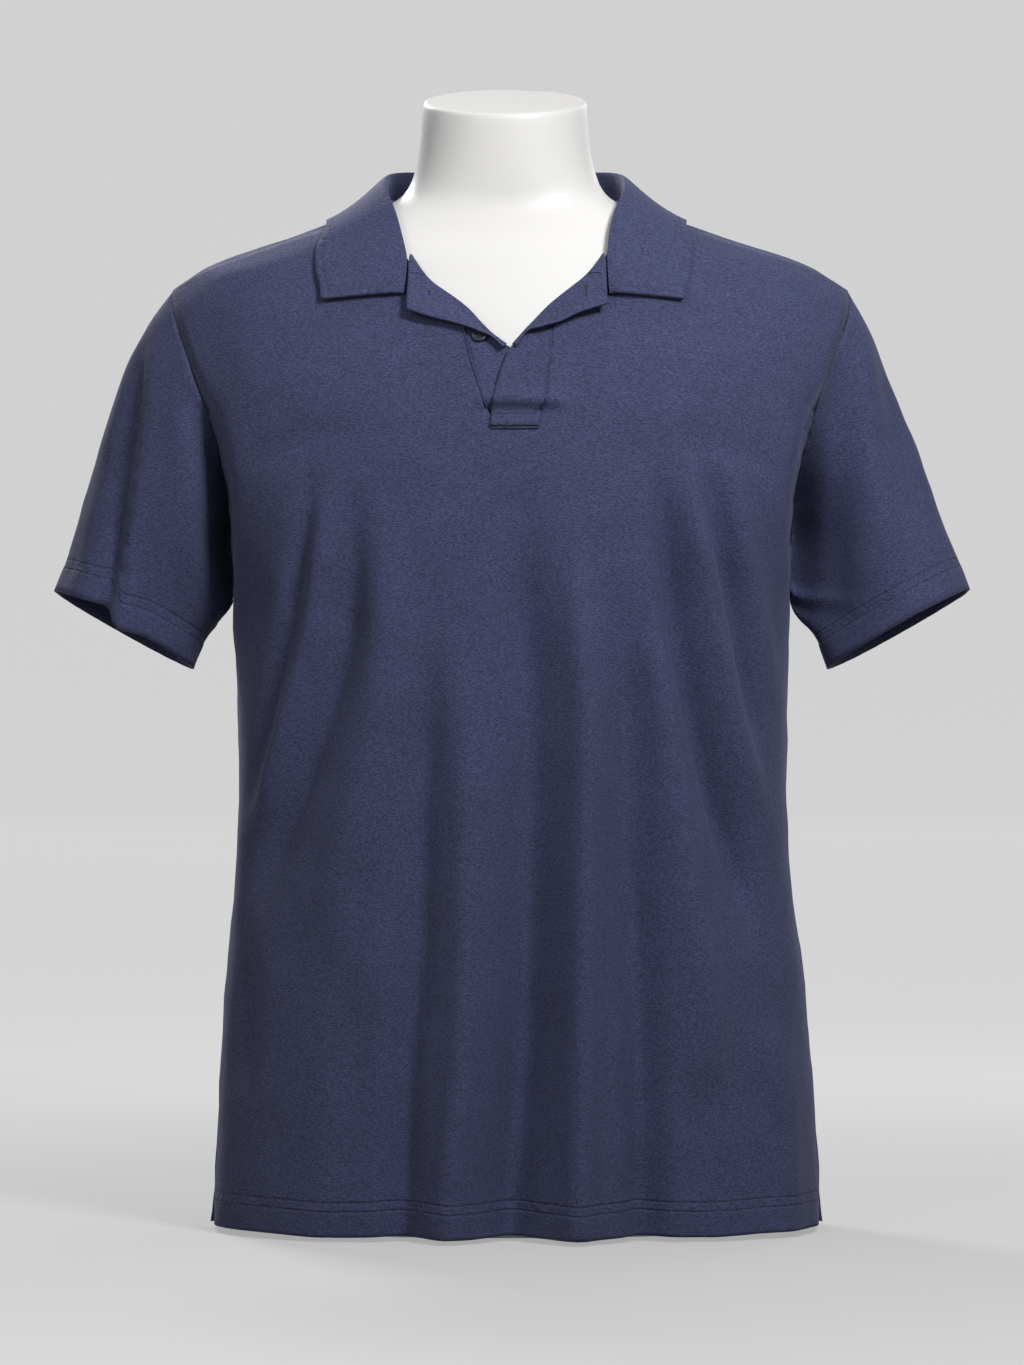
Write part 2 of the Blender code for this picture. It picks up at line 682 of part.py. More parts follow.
def sleeve_fold(side, degrees, along):
    """How far the sleeve's ridges stand out, growing towards the hem."""
    rise = 0.0
    for fold in SLEEVE_FOLDS[side]:
        off = (degrees - fold.around + 180) % 360 - 180
        rise += fold.rise * math.exp(-((off / fold.half_width) ** 2))
    return rise * ease(along * 1.1)


def sleeve(side, paint):
    """A set-in sleeve: an open tube from the armhole to the slanted hem."""
    ring = armhole_ring(side)
    columns = len(ring)
    centre, outside, front, down = sleeve_hem_frame(side)
    inward = Vector((-side, 0, 0))
    band_shares = (0.06, 0.5, 1.0)
    grid = [[] for _ in range(SLEEVE_RINGS + 1 + len(band_shares))]
    for column, (start, normal) in enumerate(ring):
        turn = 2 * math.pi * column / columns
        degrees = math.degrees(turn)
        top, face = math.cos(turn), math.sin(turn)  # 1 at the top line, 1 in front
        leave = Vector(
            (
                side * (SLEEVE_SWING[side] + 0.12 * top),
                0.30 * face,
                -0.62 - 0.10 * top - 0.25 * ease(-top),
            )
        )
        leave += inward * 0.2 * ease(-top)
        leave.normalize()
        leave += normal * max(SLEEVE_LEAN - leave.dot(normal), 0.0) * ease(0.3 - top)
        start = start + (leave + normal).normalized() * SEAM_GAP * 1.4
        swell = sleeve_fold(side, degrees, 1.0)
        across = outside * (math.cos(turn) * (SLEEVE_HEM_HALF_WIDTH + swell))
        deep = front * (math.sin(turn) * (SLEEVE_HEM_HALF_DEPTH + swell))
        hem = centre + across + deep
        band = hem - down * SLEEVE_BAND
        reach = (band - start).length
        for k in range(SLEEVE_RINGS + 1):
            t = k / SLEEVE_RINGS
            point = hermite(start, leave * reach * 0.9, band, down * reach * 0.9, t)
            grid[k].append(point)
        for k, share in enumerate(band_shares):
            grid[SLEEVE_RINGS + 1 + k].append(band.lerp(hem, share))
    normals = sheet_normals(grid, closed=True)
    if side < 0:
        normals = [[-n for n in line] for line in normals]
    outer, inner = [], []
    for k, (line, line_normals) in enumerate(zip(grid, normals)):
        in_band = k > SLEEVE_RINGS
        extra = HEM_EXTRA if in_band else 0.0
        outer.append([p + n * extra for p, n in zip(line, line_normals)])
        inner.append([p - n * CLOTH for p, n in zip(line, line_normals)])
    name = "sleeve_left" if side > 0 else "sleeve_right"
    return wall(name, outer, inner, paint, closed=True)


# ---------------------------------------------------------------- collar
def neckline_point(side, neck):
    """The neck seam on one side: 0 at the middle of the back, 1 at the shoulder seam, then
    down the front to where the turned-back corner starts, at 1.6, and along its end."""
    if neck < 1:
        seam_end = angle_at_depth(FRONT, SHOULDER_SEAM[-1].reach, NECK_SIDE)
        height = mix(BACK_NECK_HEIGHT, NECK_SIDE, ease(neck))
        angle = mix(math.pi / 2, math.pi + seam_end, neck)
        return trunk_point(BACK, angle if side < 0 else math.pi - angle, height)[0]
    if neck < 1.6:
        x = NECK_MIDDLE + side * read(FRONT_NECKLINE, neck - 1, "x")
        return on_front(x, read(FRONT_NECKLINE, neck - 1, "height"))
    u = (neck - 1.6) / 0.2
    return on_front(NECK_MIDDLE + side * mix(72.0, 70.8, u), mix(702.5, 676.0, u), 1.2 * u)


def collar(paint, trunk_tree):
    """The collar: a stand from the neck seam, a roll, and a fall that lies on the shirt. The
    grid is its face that shows, and the cloth is thick inside the roll."""
    right = [collar_line(-1, i / COLLAR_STATIONS, trunk_tree) for i in range(COLLAR_STATIONS + 1)]
    left = [collar_line(1, i / COLLAR_STATIONS, trunk_tree) for i in range(COLLAR_STATIONS + 1)]
    grid = list(reversed(right)) + left[1:]
    normals = sheet_normals(grid)
    under = []
    for column, (line, line_normals) in enumerate(zip(grid, normals)):
        share = abs(column / COLLAR_STATIONS - 1)
        under.append(collar_under(line, line_normals, ease((share - 0.46) / 0.16)))
    return wall("collar", under, grid, paint)


def collar_under(line, normals, flat):
    """The under face of one station. Inside the roll it is drawn together to one corner, and
    where the stand is only a lip (flat is 1) the lip's rows are too."""
    under = [p + n * COLLAR_CLOTH for p, n in zip(line, normals)]
    roll = len(STAND_SHARES)
    aside = (line[roll + 2] - line[roll]).normalized()
    under[roll] = line[roll] + (normals[roll] + aside * flat) * COLLAR_CLOTH
    for row, place in ((1, 0.6), (2, 0.35), (roll - 1, 0.12)):
        drawn = under[roll].lerp(under[0], place)
        under[row] = under[row].lerp(drawn, flat)
    under[roll - 1] = under[roll].lerp(under[roll - 2], 0.15)
    under[roll + 1] = under[roll].lerp(under[roll + 2], mix(0.15, 0.35, flat))
    return under


def collar_line(side, share, trunk_tree):
    """The collar's shown face at one station, from the neck seam over the roll to the edge."""
    at = {name: read(COLLAR, share, name) for name in Station._fields[1:]}
    aside = Vector((side * GORGE_SHIFT[side] * ease((share - 0.74) / 0.14), 0, 0))
    rise = SEAM_GAP * (1.5 + 2 * math.exp(-(((at["neck"] - 1) / 0.12) ** 2)))
    seam = neckline_point(side, at["neck"]) + Vector((0, 0, rise)) + aside
    roll = Vector((NECK_MIDDLE + side * at["roll_x"], at["roll_y"], at["roll_height"])) + aside
    shorter = LEFT_EDGE_TURN * ease((share - 0.5) / 0.3) if side > 0 else 0.0
    turn = math.radians(at["edge_turn"] - shorter)
    turn = turn if side > 0 else math.pi - turn
    edge, outward = trunk_point(BACK, turn, at["edge_height"], at["stand_off"])
    out = edge - roll
    level = Vector((out.x, out.y, 0)).normalized()
    flat = ease((share - 0.46) / 0.16)  # in front the stand is only a lip under the roll
    land = Vector((out.x, out.y, out.z * mix(0.5, 1.0, flat))) * mix(1.1, 0.9, flat)
    seam = seam.lerp(roll - outward * COLLAR_LIP, flat)
    round_over = min(14.0, 1.0 + (roll - seam).length * 0.6)
    line = []
    for t in STAND_SHARES:
        line.append(hermite(seam, (roll - seam) * 1.1, roll, level * round_over, t))
    for t in FALL_SHARES:
        point = hermite(roll, level * round_over * mix(1.2, 1.6, flat), edge, land, t)
        clear = mix(COLLAR_CLEARANCE, at["stand_off"], ease(share)) * ease(t / 0.2)
        line.append(clear_of(point, trunk_tree, clear) if t else point)
    return line


def clear_of(point, tree, least):
    """The point, moved out if it is closer to the trunk's outer face than least."""
    near, normal, _, _ = tree.find_nearest(point * MM)
    near = near / MM
    off = (point - near).dot(normal)
    return near + normal * least if off < least else point


def trunk_tree_of(*grids):
    """A tree of the trunk's outer faces, normals out, for what lies on them."""
    points, faces = [], []
    for grid in grids:
        start, columns = len(points), len(grid[0])
        middle = Vector((0, 0, 0))
        for line in grid:
            points.extend(p * MM for p in line)
        for r in range(len(grid) - 1):
            for c in range(columns - 1):
                a = start + r * columns + c
                corners = [a, a + 1, a + columns + 1, a + columns]
                p = [points[k] for k in corners]
                normal = (p[2] - p[0]).cross(p[3] - p[1])
                middle = (p[0] + p[2]) / 2
                if normal.dot(Vector((middle.x, middle.y, 0.05))) < 0:
                    corners.reverse()
                faces.append(corners)
    return BVHTree.FromPolygons(points, faces)


# ---------------------------------------------------------------- placket
def roll_line(corners, side, share):
    """A point of the line that a corner is turned on, seen from the front, and the direction
    across it, away from the opening."""

    def at(place):
        x, height = (read(corners, place, name) for name in ("roll_x", "roll_height"))
        return Vector((side * x, height))

    along = (at(min(share + 0.05, 1.0)) - at(max(share - 0.05, 0.0))).normalized()
    return at(share), Vector((along.y, -along.x)) * side


def turned_corner(side, corners, paint):
    """The part of a placket strip that is turned back: round the roll line, then out over
    the front with its free edge standing off."""
    inner_radius = ROLL_GAP / 2
    outer_radius = TURN_SIZE
    turns = (-90, -45, 0, 45, 90)
    flat_shares = (0.3, 0.6, 0.85, 1.0)
    stations = 9
    under, over = [], []
    for i in range(stations + 1):
        share = i / stations
        roll, out = roll_line(corners, side, share)
        edge = Vector(
            (side * read(corners, share, "edge_x"), read(corners, share, "edge_height"))
        )
        stand_off = read(corners, share, "stand_off")
        centre = roll + out * TURN_SIZE
        under_line, over_line = [], []
        for turn in turns:
            a = math.radians(turn)
            for line, radius in ((under_line, inner_radius), (over_line, outer_radius)):
                at = centre - out * (radius * math.cos(a))
                line.append(on_front(at.x, at.y, inner_radius + radius * math.sin(a)))
        for t in flat_shares:
            at = centre.lerp(edge, t)
            lift = mix(ROLL_GAP, stand_off, ease(t * 0.9 + 0.1))
            under_line.append(on_front(at.x, at.y, lift))
            over_line.append(on_front(at.x, at.y, lift + PLACKET_CLOTH))
        under.append(under_line)
        over.append(over_line)
    return wall("turned_corner", over, under, paint), under


def placket_strip(side, slot_edge, corners, lead_edge, lead_lift, foot, paint):
    """The flat part of a placket strip, from its seam to its leading edge, and above the
    opening's foot to the roll line."""
    outer, inner = [], []
    across_shares = (0.0, 0.35, 0.7, 1.0)
    step = (SLOT_TOP - SLOT_BOTTOM) / SHOULDER_ROWS
    heights = [foot] + [SLOT_BOTTOM + step * i for i in range(SHOULDER_ROWS)]
    heights += [OPENING_FOOT - 2, 646.0, 658.0, SLOT_TOP - 1]
    heights = sorted(height for height in heights if height >= foot)
    for height in heights:
        seam_x = slot_x(slot_edge, height)
        if height < OPENING_FOOT:
            lead_x = read(lead_edge, height, "x")
        else:
            share = share_at_height(corners, height)
            lead_x = side * (read(corners, share, "roll_x") + TURN_SIZE / 2)
        above = height > SLOT_BOTTOM + 0.1  # inside the slit, not over the panel
        if above:
            seam_x += math.copysign(SEAM_GAP * 1.2, lead_x - seam_x)
        outer_line, inner_line = [], []
        for t in across_shares:
            x = mix(seam_x, lead_x, t)
            fade = 1 - ease((height - OPENING_FOOT + 2) / 11)
            lift = -0.1 + lead_lift * ease(t * 1.4) * fade
            if not above:
                lift = SEAM_GAP * 3 + PLACKET_CLOTH
            outer_line.append(on_front(x, height, lift))
            inner_line.append(on_front(x, height, lift - PLACKET_CLOTH + 0.1))
        outer.append(outer_line)
        inner.append(inner_line)
    return wall("placket_strip", outer, inner, paint)


def share_at_height(corners, height):
    """How far along a turned-back corner its roll line reaches a height."""
    low, high = 0.0, 1.0
    for _ in range(30):
        share = (low + high) / 2
        if read(corners, share, "roll_height") < height:
            low = share
        else:
            high = share
    return low


def joined(name, first, second):
    """The union of two overlapping solids, as one object."""
    union = first.modifiers.new("join", "BOOLEAN")
    union.operation = "UNION"
    union.solver = "EXACT"
    union.object = second
    graph = bpy.context.evaluated_depsgraph_get()
    data = bpy.data.meshes.new_from_object(first.evaluated_get(graph))
    data.name = name
    made = bpy.data.objects.new(name, data)
    bpy.data.collections["polo_shirt_on_form"].objects.link(made)
    for old in (first, second):
        bpy.data.objects.remove(old)
    return made


def placket_under(paint):
    """The wearer's right strip, which carries the buttons and lies under the other."""
    lead = (Edge(588, 19.0), Edge(604, 16.0), Edge(OPENING_FOOT, 3.0))
    foot = SLOT_BOTTOM + SEAM_GAP
    strip = placket_strip(-1, SLOT_RIGHT_EDGE, TURNED_RIGHT, lead, -3.0, foot, paint)
    corner, under = turned_corner(-1, TURNED_RIGHT, paint)
    return joined("placket_under", strip, corner), under


def placket_top(paint):
    """The wearer's left strip, which carries the buttonholes and ends in a stitched box."""
    lead = (Edge(580, -14.8), Edge(594, -13.4), Edge(616, -8.5), Edge(OPENING_FOOT, -0.7))
    strip = placket_strip(1, SLOT_LEFT_EDGE, TURNED_LEFT, lead, 1.6, 579.5, paint)
    corner, _ = turned_corner(1, TURNED_LEFT, paint)
    return joined("placket_top", strip, corner)


# ---------------------------------------------------------------- buttons
def button(name, place, axis, paint):
    """A sew-through button with a raised rim, turned from its half profile."""
    radius, thick = BUTTON_WIDTH / 2, BUTTON_THICKNESS
    profile = (
        (0.0, thick * 0.6),
        (radius * 0.55, thick * 0.6),
        (radius * 0.72, thick),
        (radius * 0.9, thick),
        (radius, thick * 0.6),
        (radius * 0.9, 0.15),
        (radius * 0.7, 0.0),
        (0.0, 0.0),
    )
    data = bpy.data.meshes.new(name)
    points = [(r * MM, 0, z * MM) for r, z in profile]
    data.from_pydata(points, [(i, i + 1) for i in range(len(points) - 1)], [])
    data.materials.append(paint)
    made = bpy.data.objects.new(name, data)
    bpy.data.collections["polo_shirt_on_form"].objects.link(made)
    screw = made.modifiers.new("turn", "SCREW")
    screw.steps = screw.render_steps = 20
    screw.use_merge_vertices = True
    screw.merge_threshold = 0.00001
    turn = axis.to_track_quat("Z", "Y").to_matrix().to_4x4()
    made.matrix_world = Matrix.Translation((place + axis * SEAM_GAP) * MM) @ turn
    return made


def buttons(under, paint):
    """One button on the flat of the under strip and one on its turned-back corner, whose
    underside has the given points."""
    x, height = UNDER_BUTTON
    place, normal = trunk_point(FRONT, angle_of(x, height), height)
    button("button_under_placket", place, normal, paint)
    station, column = TURNED_BUTTON
    along = under[station + 1][column] - under[station - 1][column]
    across = under[station][column + 1] - under[station][column - 1]
    axis = along.cross(across).normalized()
    if axis.y < 0:
        axis.negate()
    button("button_turned_corner", under[station][column], axis, paint)


# ---------------------------------------------------------------- dress form
def dress_form(paint):
    """A smooth torso and neck: rings of the form's table, flat below and cut at the neck."""
    heights = [0, 30, 60, 105, 150, 200, 250, 300, 360, 420, 470, 520, 560, 600, 630, 655]
    heights += [672, 684, 694, 703, 711, 719, 727, 734, 740, 745, 750, 757, 766, 780, 795]
    tilt = math.tan(math.radians(NECK_CAP_TILT))
    rings = []
    for height in heights:
        rings.append([form_point(i, height) for i in range(FORM_COLUMNS)])
    for drop, shrink in ((NECK_CAP_ROUND, 1.0), (0.9, 0.983), (0.0, 0.95)):
        line = []
        for i in range(FORM_COLUMNS):
            point = form_point(i, NECK_CAP - drop)
            point = Vector((point.x * shrink, point.y * shrink, point.z))
            point.z += point.y * tilt
            line.append(point)
        rings.append(line)
    mesh = bmesh.new()
    loops = [[mesh.verts.new(p * MM) for p in ring] for ring in rings]
    for low, high in zip(loops, loops[1:]):
        for i in range(FORM_COLUMNS):
            j = (i + 1) % FORM_COLUMNS
            mesh.faces.new((low[i], low[j], high[j], high[i]))
    mesh.faces.new(list(reversed(loops[0])))
    mesh.faces.new(loops[-1])
    return finish("dress_form", mesh, paint)


def form_point(column, height):
    around = 2 * math.pi * column / FORM_COLUMNS
    face = BACK if around <= math.pi else FRONT
    angle = around if face == BACK else 2 * math.pi - around
    return ring_point(FORM, face, angle, height)[0]


# ---------------------------------------------------------------- assembly
def main():
    clear_scene()
    collection = bpy.data.collections.new("polo_shirt_on_form")
    bpy.context.scene.collection.children.link(collection)
    knit = material("navy_knit", NAVY, 0.9)
    plastic = material("button_plastic", BUTTON_NAVY, 0.35)
    gloss = material("form_shell", FORM_WHITE, 0.35)
    dress_form(gloss)
    _, front_outer = front_panel(knit)
    _, back_outer = back_panel(knit)
    for side in (-1, 1):
        sleeve(side, knit)
    collar(knit, trunk_tree_of(front_outer, back_outer))
    _, under = placket_under(knit)
    placket_top(knit)
    buttons(under, plastic)


main()
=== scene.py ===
# %% [markdown]
# # A knit polo shirt on a dress form
# This script gives the shirt's solids their cloth: a brushed, heathered knit with soft folds,
# stitched hems and seams, small dark buttons, and a satin white form inside it. It ends with
# a softly lit picture from the front. Lengths are in metres, +Z is up, the shirt's front
# faces -Y and the wearer's left is at +X.

# %% Load the solids
import math
import random

import bmesh
import bpy
import numpy as np
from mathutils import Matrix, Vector, kdtree, noise
from mathutils.bvhtree import BVHTree


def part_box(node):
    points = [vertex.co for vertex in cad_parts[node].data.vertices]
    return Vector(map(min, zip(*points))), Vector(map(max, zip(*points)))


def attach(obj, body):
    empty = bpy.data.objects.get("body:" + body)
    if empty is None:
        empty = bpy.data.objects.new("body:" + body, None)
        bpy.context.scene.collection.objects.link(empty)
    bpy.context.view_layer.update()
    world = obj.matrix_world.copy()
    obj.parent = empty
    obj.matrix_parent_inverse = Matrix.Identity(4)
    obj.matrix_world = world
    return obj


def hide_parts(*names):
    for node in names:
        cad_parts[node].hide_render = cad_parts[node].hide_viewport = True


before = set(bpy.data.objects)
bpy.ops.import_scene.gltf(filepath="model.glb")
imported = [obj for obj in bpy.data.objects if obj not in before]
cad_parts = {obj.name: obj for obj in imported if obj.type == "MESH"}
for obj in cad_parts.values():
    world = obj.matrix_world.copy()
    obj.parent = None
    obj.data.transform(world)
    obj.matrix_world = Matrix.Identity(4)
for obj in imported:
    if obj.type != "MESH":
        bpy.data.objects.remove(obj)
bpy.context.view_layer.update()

MM = 0.001
random.seed(11)

# %% [markdown]
# Four small helpers do what nearly every piece needs.


# %% Small helpers
def placed(name, data):
    """A new object in the scene."""
    made = bpy.data.objects.new(name, data)
    bpy.context.scene.collection.objects.link(made)
    return made


def mesh_data(name, mesh):
    """Mesh data from a bmesh, which is freed."""
    data = bpy.data.meshes.new(name)
    mesh.to_mesh(data)
    mesh.free()
    return data


def evaluated(made):
    """The mesh that an object's modifiers or bevel make."""
    graph = bpy.context.evaluated_depsgraph_get()
    return bpy.data.meshes.new_from_object(made.evaluated_get(graph))


def smooth_faces(data):
    for face in data.polygons:
        face.use_smooth = True


# %% [markdown]
# ## The camera
# The camera comes first, because folds and stitches are placed by where they are seen. It is
# level, four metres in front of the form, with a long lens, so the shirt looks almost flat on.
# `seen_at` turns a point into picture coordinates, and `line_of_sight` goes the other way.

# %% Camera and picture coordinates
EYE = Vector((0.0007, -4.0, 0.398))
PICTURE_WIDTH, PICTURE_HEIGHT = 1024, 1365
LENS = 144.5
PIXEL = 36 / LENS * abs(EYE.y) / PICTURE_HEIGHT  # metres for one picture point at y = 0

camera = placed("camera", bpy.data.cameras.new("camera"))
camera.data.lens = LENS
camera.location = EYE
camera.rotation_euler = (math.radians(90), 0, 0)
bpy.context.scene.camera = camera


def seen_at(points, behind=False):
    """Picture columns and rows of points, from the camera or from the same place behind."""
    turn = -1.0 if behind else 1.0
    x, y, z = points[:, 0] * turn, points[:, 1] * turn, points[:, 2]
    near = abs(EYE.y) / (y - EYE.y)
    column = PICTURE_WIDTH / 2 + (x - EYE.x) * near / PIXEL
    row = PICTURE_HEIGHT / 2 - (z - EYE.z) * near / PIXEL
    return column, row


def line_of_sight(column, row):
    """The direction from the camera through a picture point."""
    across = (column - PICTURE_WIDTH / 2) * PIXEL
    up = (PICTURE_HEIGHT / 2 - row) * PIXEL
    return Vector((across, abs(EYE.y), up)).normalized()


print(f"one picture point is {PIXEL / MM:.3f} mm at the form's middle")

# %% [markdown]
# ## Shader maths
# Node trees are easier to read as sums. `Value` wraps a socket, so that Python's operators add
# the Math nodes, and `Paint.add` makes any other node from its type, settings and sockets.


# %% Shader maths and a small paint box
class Value:
    """A number socket that Python's operators join with Math nodes."""

    def __init__(self, paint, socket):
        self.paint, self.socket = paint, socket

    def _maths(self, operation, first, second):
        return self.paint.add("ShaderNodeMath", {"operation": operation}, {0: first, 1: second})

    def __add__(self, other):
        return self._maths("ADD", self, other)

    def __sub__(self, other):
        return self._maths("SUBTRACT", self, other)

    def __rsub__(self, other):
        return self._maths("SUBTRACT", other, self)

    def __mul__(self, other):
        return self._maths("MULTIPLY", self, other)

    __radd__ = __add__


class Paint:
    """A material with one Principled shader, and a short way to add its nodes."""

    def __init__(self, name, **fixed):
        self.material = bpy.data.materials.new(name)
        self.material.use_nodes = True
        self.tree = self.material.node_tree
        self.shader = self.tree.nodes["Principled BSDF"]
        for socket, value in fixed.items():
            self.shader.inputs[socket.replace("_", " ")].default_value = value

    def add(self, kind, settings=None, sockets=None, out=0):
        node = self.tree.nodes.new(kind)
        for key, value in (settings or {}).items():
            setattr(node, key, value)
        for key, value in (sockets or {}).items():
            self.put(node.inputs[key], value)
        return Value(self, node.outputs[out])

    def put(self, socket, value):
        if isinstance(value, Value):
            self.tree.links.new(value.socket, socket)
        else:
            socket.default_value = value

    def wear(self, **finish):
        for socket, value in finish.items():
            self.put(self.shader.inputs[socket.replace("_", " ")], value)
        return self.material

    def noise(self, place, scale, detail=2.0, roughness=0.5):
        sockets = {"Vector": place, "Scale": scale, "Detail": detail, "Roughness": roughness}
        return self.add("ShaderNodeTexNoise", {}, sockets)

    def spread(self, value, low, high, to_low=0.0, to_high=1.0):
        """Maps low to high onto to_low to to_high, softly and without going past."""
        sockets = {0: value, 1: low, 2: high, 3: to_low, 4: to_high}
        return self.add("ShaderNodeMapRange", {"interpolation_type": "SMOOTHSTEP"}, sockets)

    def between(self, share, first, second):
        """A colour between two others."""
        sockets = {"Factor": share, 6: first, 7: second}
        return self.add("ShaderNodeMix", {"data_type": "RGBA"}, sockets, out=2)

    def near(self, distance, at, width):
        """1 where a distance is just at a value, falling to 0 width away from it."""
        off = self.add("ShaderNodeMath", {"operation": "ABSOLUTE"}, {0: distance - at})
        return self.spread(off, 0.0, width, 1.0, 0.0)

    def bump(self, height_mm):
        return self.add("ShaderNodeBump", {}, {"Distance": MM, "Height": height_mm})


# %% [markdown]
# ## The knit
# The cloth is a single knit, brushed on the outside, so that short fibres lie over it in all
# directions, some lighter and some darker. Two stretched noises at different slants make the
# fibres, and a third chooses between them. Two attributes on the mesh say how far a point is
# from the hem and from the nearest seam, in millimetres: rows of stitches press a fine groove
# there, drawn a little darker in the colour as painted shade, and the cloth puckers beside it.
# A third does the same for single rows, as at the vents and on the collar's edge.

# %% Knit and thread
DARK_YARN = (0.0155, 0.0190, 0.052, 1)
LIGHT_YARN = (0.066, 0.0745, 0.180, 1)
HEM_ROWS = (18.0, 24.5)  # the two rows of stitches above every hem, mm
SEAM_ROW = 5.0  # and the one beside a seam, mm
FIBRE_SLANTS = ((0.2, 0.42, 0.0), (-0.24, -0.06, 0.5))  # the two ways that fibres lie, radians
FIBRE_STRETCH = (0.36, 0.36, 1.15)
FIBRE_SCALE, PATCH_SCALE, BRUSH_SCALE, PUCKER_SCALE = 1250, 300, 34, 190


def knit_cloth(name):
    paint = Paint(
        name, Sheen_Weight=0.08, Sheen_Roughness=0.5, Sheen_Tint=(0.6, 0.65, 1.0, 1)
    )
    place = paint.add("ShaderNodeTexCoord", out="Object")
    slants = []
    for turn in FIBRE_SLANTS:
        slant = {"Vector": place, "Rotation": turn, "Scale": FIBRE_STRETCH}
        laid = paint.add("ShaderNodeMapping", {}, slant)
        slants.append(paint.noise(laid, FIBRE_SCALE, 2.0, 0.55))
    which = paint.spread(paint.noise(place, PATCH_SCALE, 1.0), 0.42, 0.58)
    fibre = slants[0] * which + slants[1] * (1 - which)
    fleck = paint.spread(fibre, 0.32, 0.70)
    brushed = paint.noise(place, BRUSH_SCALE, 3.0)
    lightness = fleck * 0.72 + brushed * 0.2 + 0.02
    hem = paint.add("ShaderNodeAttribute", {"attribute_name": "hem_gap"}, out="Fac")
    seam = paint.add("ShaderNodeAttribute", {"attribute_name": "seam_gap"}, out="Fac")
    sewn = paint.add("ShaderNodeAttribute", {"attribute_name": "row_gap"}, out="Fac")
    rows = [paint.near(hem, row, 1.5) for row in HEM_ROWS] + [paint.near(sewn, SEAM_ROW, 1.4)]
    groove = rows[0] + rows[1] + rows[2] * 0.5
    edge = paint.near(seam, 0.0, 1.8)
    puckered = paint.near(hem, 21, 11) + paint.near(sewn, SEAM_ROW, 6) + paint.near(seam, 0, 7)
    pucker = (paint.noise(place, PUCKER_SCALE, 1.0) - 0.5) * puckered
    height = fibre * 0.42 + brushed * 0.2 - groove * 0.55 - edge * 0.15 + pucker * 1.6
    # The stitch grooves are also drawn darker in the colour: painted shade in the grooves.
    colour = paint.between(lightness - groove * 0.12, DARK_YARN, LIGHT_YARN)
    rough = 0.96 - fleck * 0.1
    return paint.wear(Base_Color=colour, Roughness=rough, Normal=paint.bump(height))


def sewing_thread(name, dark, light):
    paint = Paint(name, Sheen_Weight=0.1)
    place = paint.add("ShaderNodeTexCoord", out="Object")
    twist = paint.noise(place, 2600, 1.0)
    colour = paint.between(twist, dark, light)
    rough = 0.5 + twist * 0.2
    return paint.wear(Base_Color=colour, Roughness=rough, Normal=paint.bump(twist * 0.1))


KNIT = knit_cloth("navy_knit_cloth")
THREAD = sewing_thread("navy_sewing_thread", (0.030, 0.033, 0.072, 1), (0.066, 0.072, 0.150, 1))
# The same thread as a near-black copy painted in shade: the painted shadow in the buttonhole's slit, and
# the colour of the marks on the neck tape and of the loose thread ends
SHADED_THREAD = sewing_thread("thread_in_painted_shade", (0.002, 0.002, 0.004, 1), (0.006, 0.007, 0.012, 1))
print("made", KNIT.name, THREAD.name, "and", SHADED_THREAD.name)

# %% [markdown]
# ## Form and buttons
# The form is a satin white shell: almost even, with a faint unevenness in its gloss. The
# buttons are dark moulded plastic with slow streaks in them.


# %% Shell and button plastic
def form_shell(name):
    paint = Paint(name, Coat_Weight=0.12, Coat_Roughness=0.35)
    place = paint.add("ShaderNodeTexCoord", out="Object")
    cloud = paint.noise(place, 9, 3.0)
    grain = paint.noise(place, 900, 1.0)
    colour = paint.between(cloud, (0.735, 0.726, 0.713, 1), (0.765, 0.756, 0.743, 1))
    rough = 0.46 + cloud * 0.08
    return paint.wear(Base_Color=colour, Roughness=rough, Normal=paint.bump(grain * 0.03))


def button_plastic(name):
    paint = Paint(name, Coat_Weight=0.2, Coat_Roughness=0.25)
    place = paint.add("ShaderNodeTexCoord", out="Object")
    streaks = paint.add("ShaderNodeMapping", {}, {"Vector": place, "Scale": (1, 1, 4)})
    marbling = paint.noise(streaks, 220, 3.0)
    colour = paint.between(marbling, (0.010, 0.011, 0.020, 1), (0.034, 0.036, 0.056, 1))
    rough = 0.3 + marbling * 0.15
    return paint.wear(Base_Color=colour, Roughness=rough)


SHELL = form_shell("satin_white_shell")
PLASTIC = button_plastic("dark_button_plastic")
print("made", SHELL.name, "and", PLASTIC.name)

# %% [markdown]
# ## From solid to cloth
# Each solid of the shirt is already a thin closed wall with the right form, so the cloth
# starts as a copy of it. Its loose triangles are merged to four-sided faces, its cut edges are
# creased so that subdivision keeps them, and two rounds of subdivision make it supple. Before
# that, the cut edges of its outer wall are kept as chains: hems, seams and stitches follow them.


# %% Copy a wall
TRUNK_SQUARES = (0.044, 0.0156)  # squares of the trunk's half width and half depth
SLEEVE_AXIS = ((0.235, 0.0, 0.62), (0.283, 0.002, 0.437))  # two points on the left sleeve's axis
DOUBLES = 0.01 * MM  # points nearer than this are merged
ROUNDS = 2  # of subdivision


def straight_out(point):
    """The horizontal direction straight out of the trunk's oval."""
    return Vector((point.x / TRUNK_SQUARES[0], point.y / TRUNK_SQUARES[1], 0)).normalized()


def sleeve_out(side):
    """A function that gives the direction away from a sleeve's axis, at side 1 or -1."""
    top, low = (Vector((side * x, y, z)) for x, y, z in SLEEVE_AXIS)
    run = (low - top).normalized()

    def out(point):
        off = point - top
        return (off - run * off.dot(run)).normalized()

    return out


def wall_copy(node):
    """A node's mesh with its doubles merged and its triangles joined."""
    mesh = bmesh.new()
    mesh.from_mesh(bpy.data.objects[node].data)
    bmesh.ops.remove_doubles(mesh, verts=mesh.verts, dist=DOUBLES)
    bmesh.ops.join_triangles(
        mesh, faces=mesh.faces, angle_face_threshold=0.7, angle_shape_threshold=3.1
    )
    return mesh


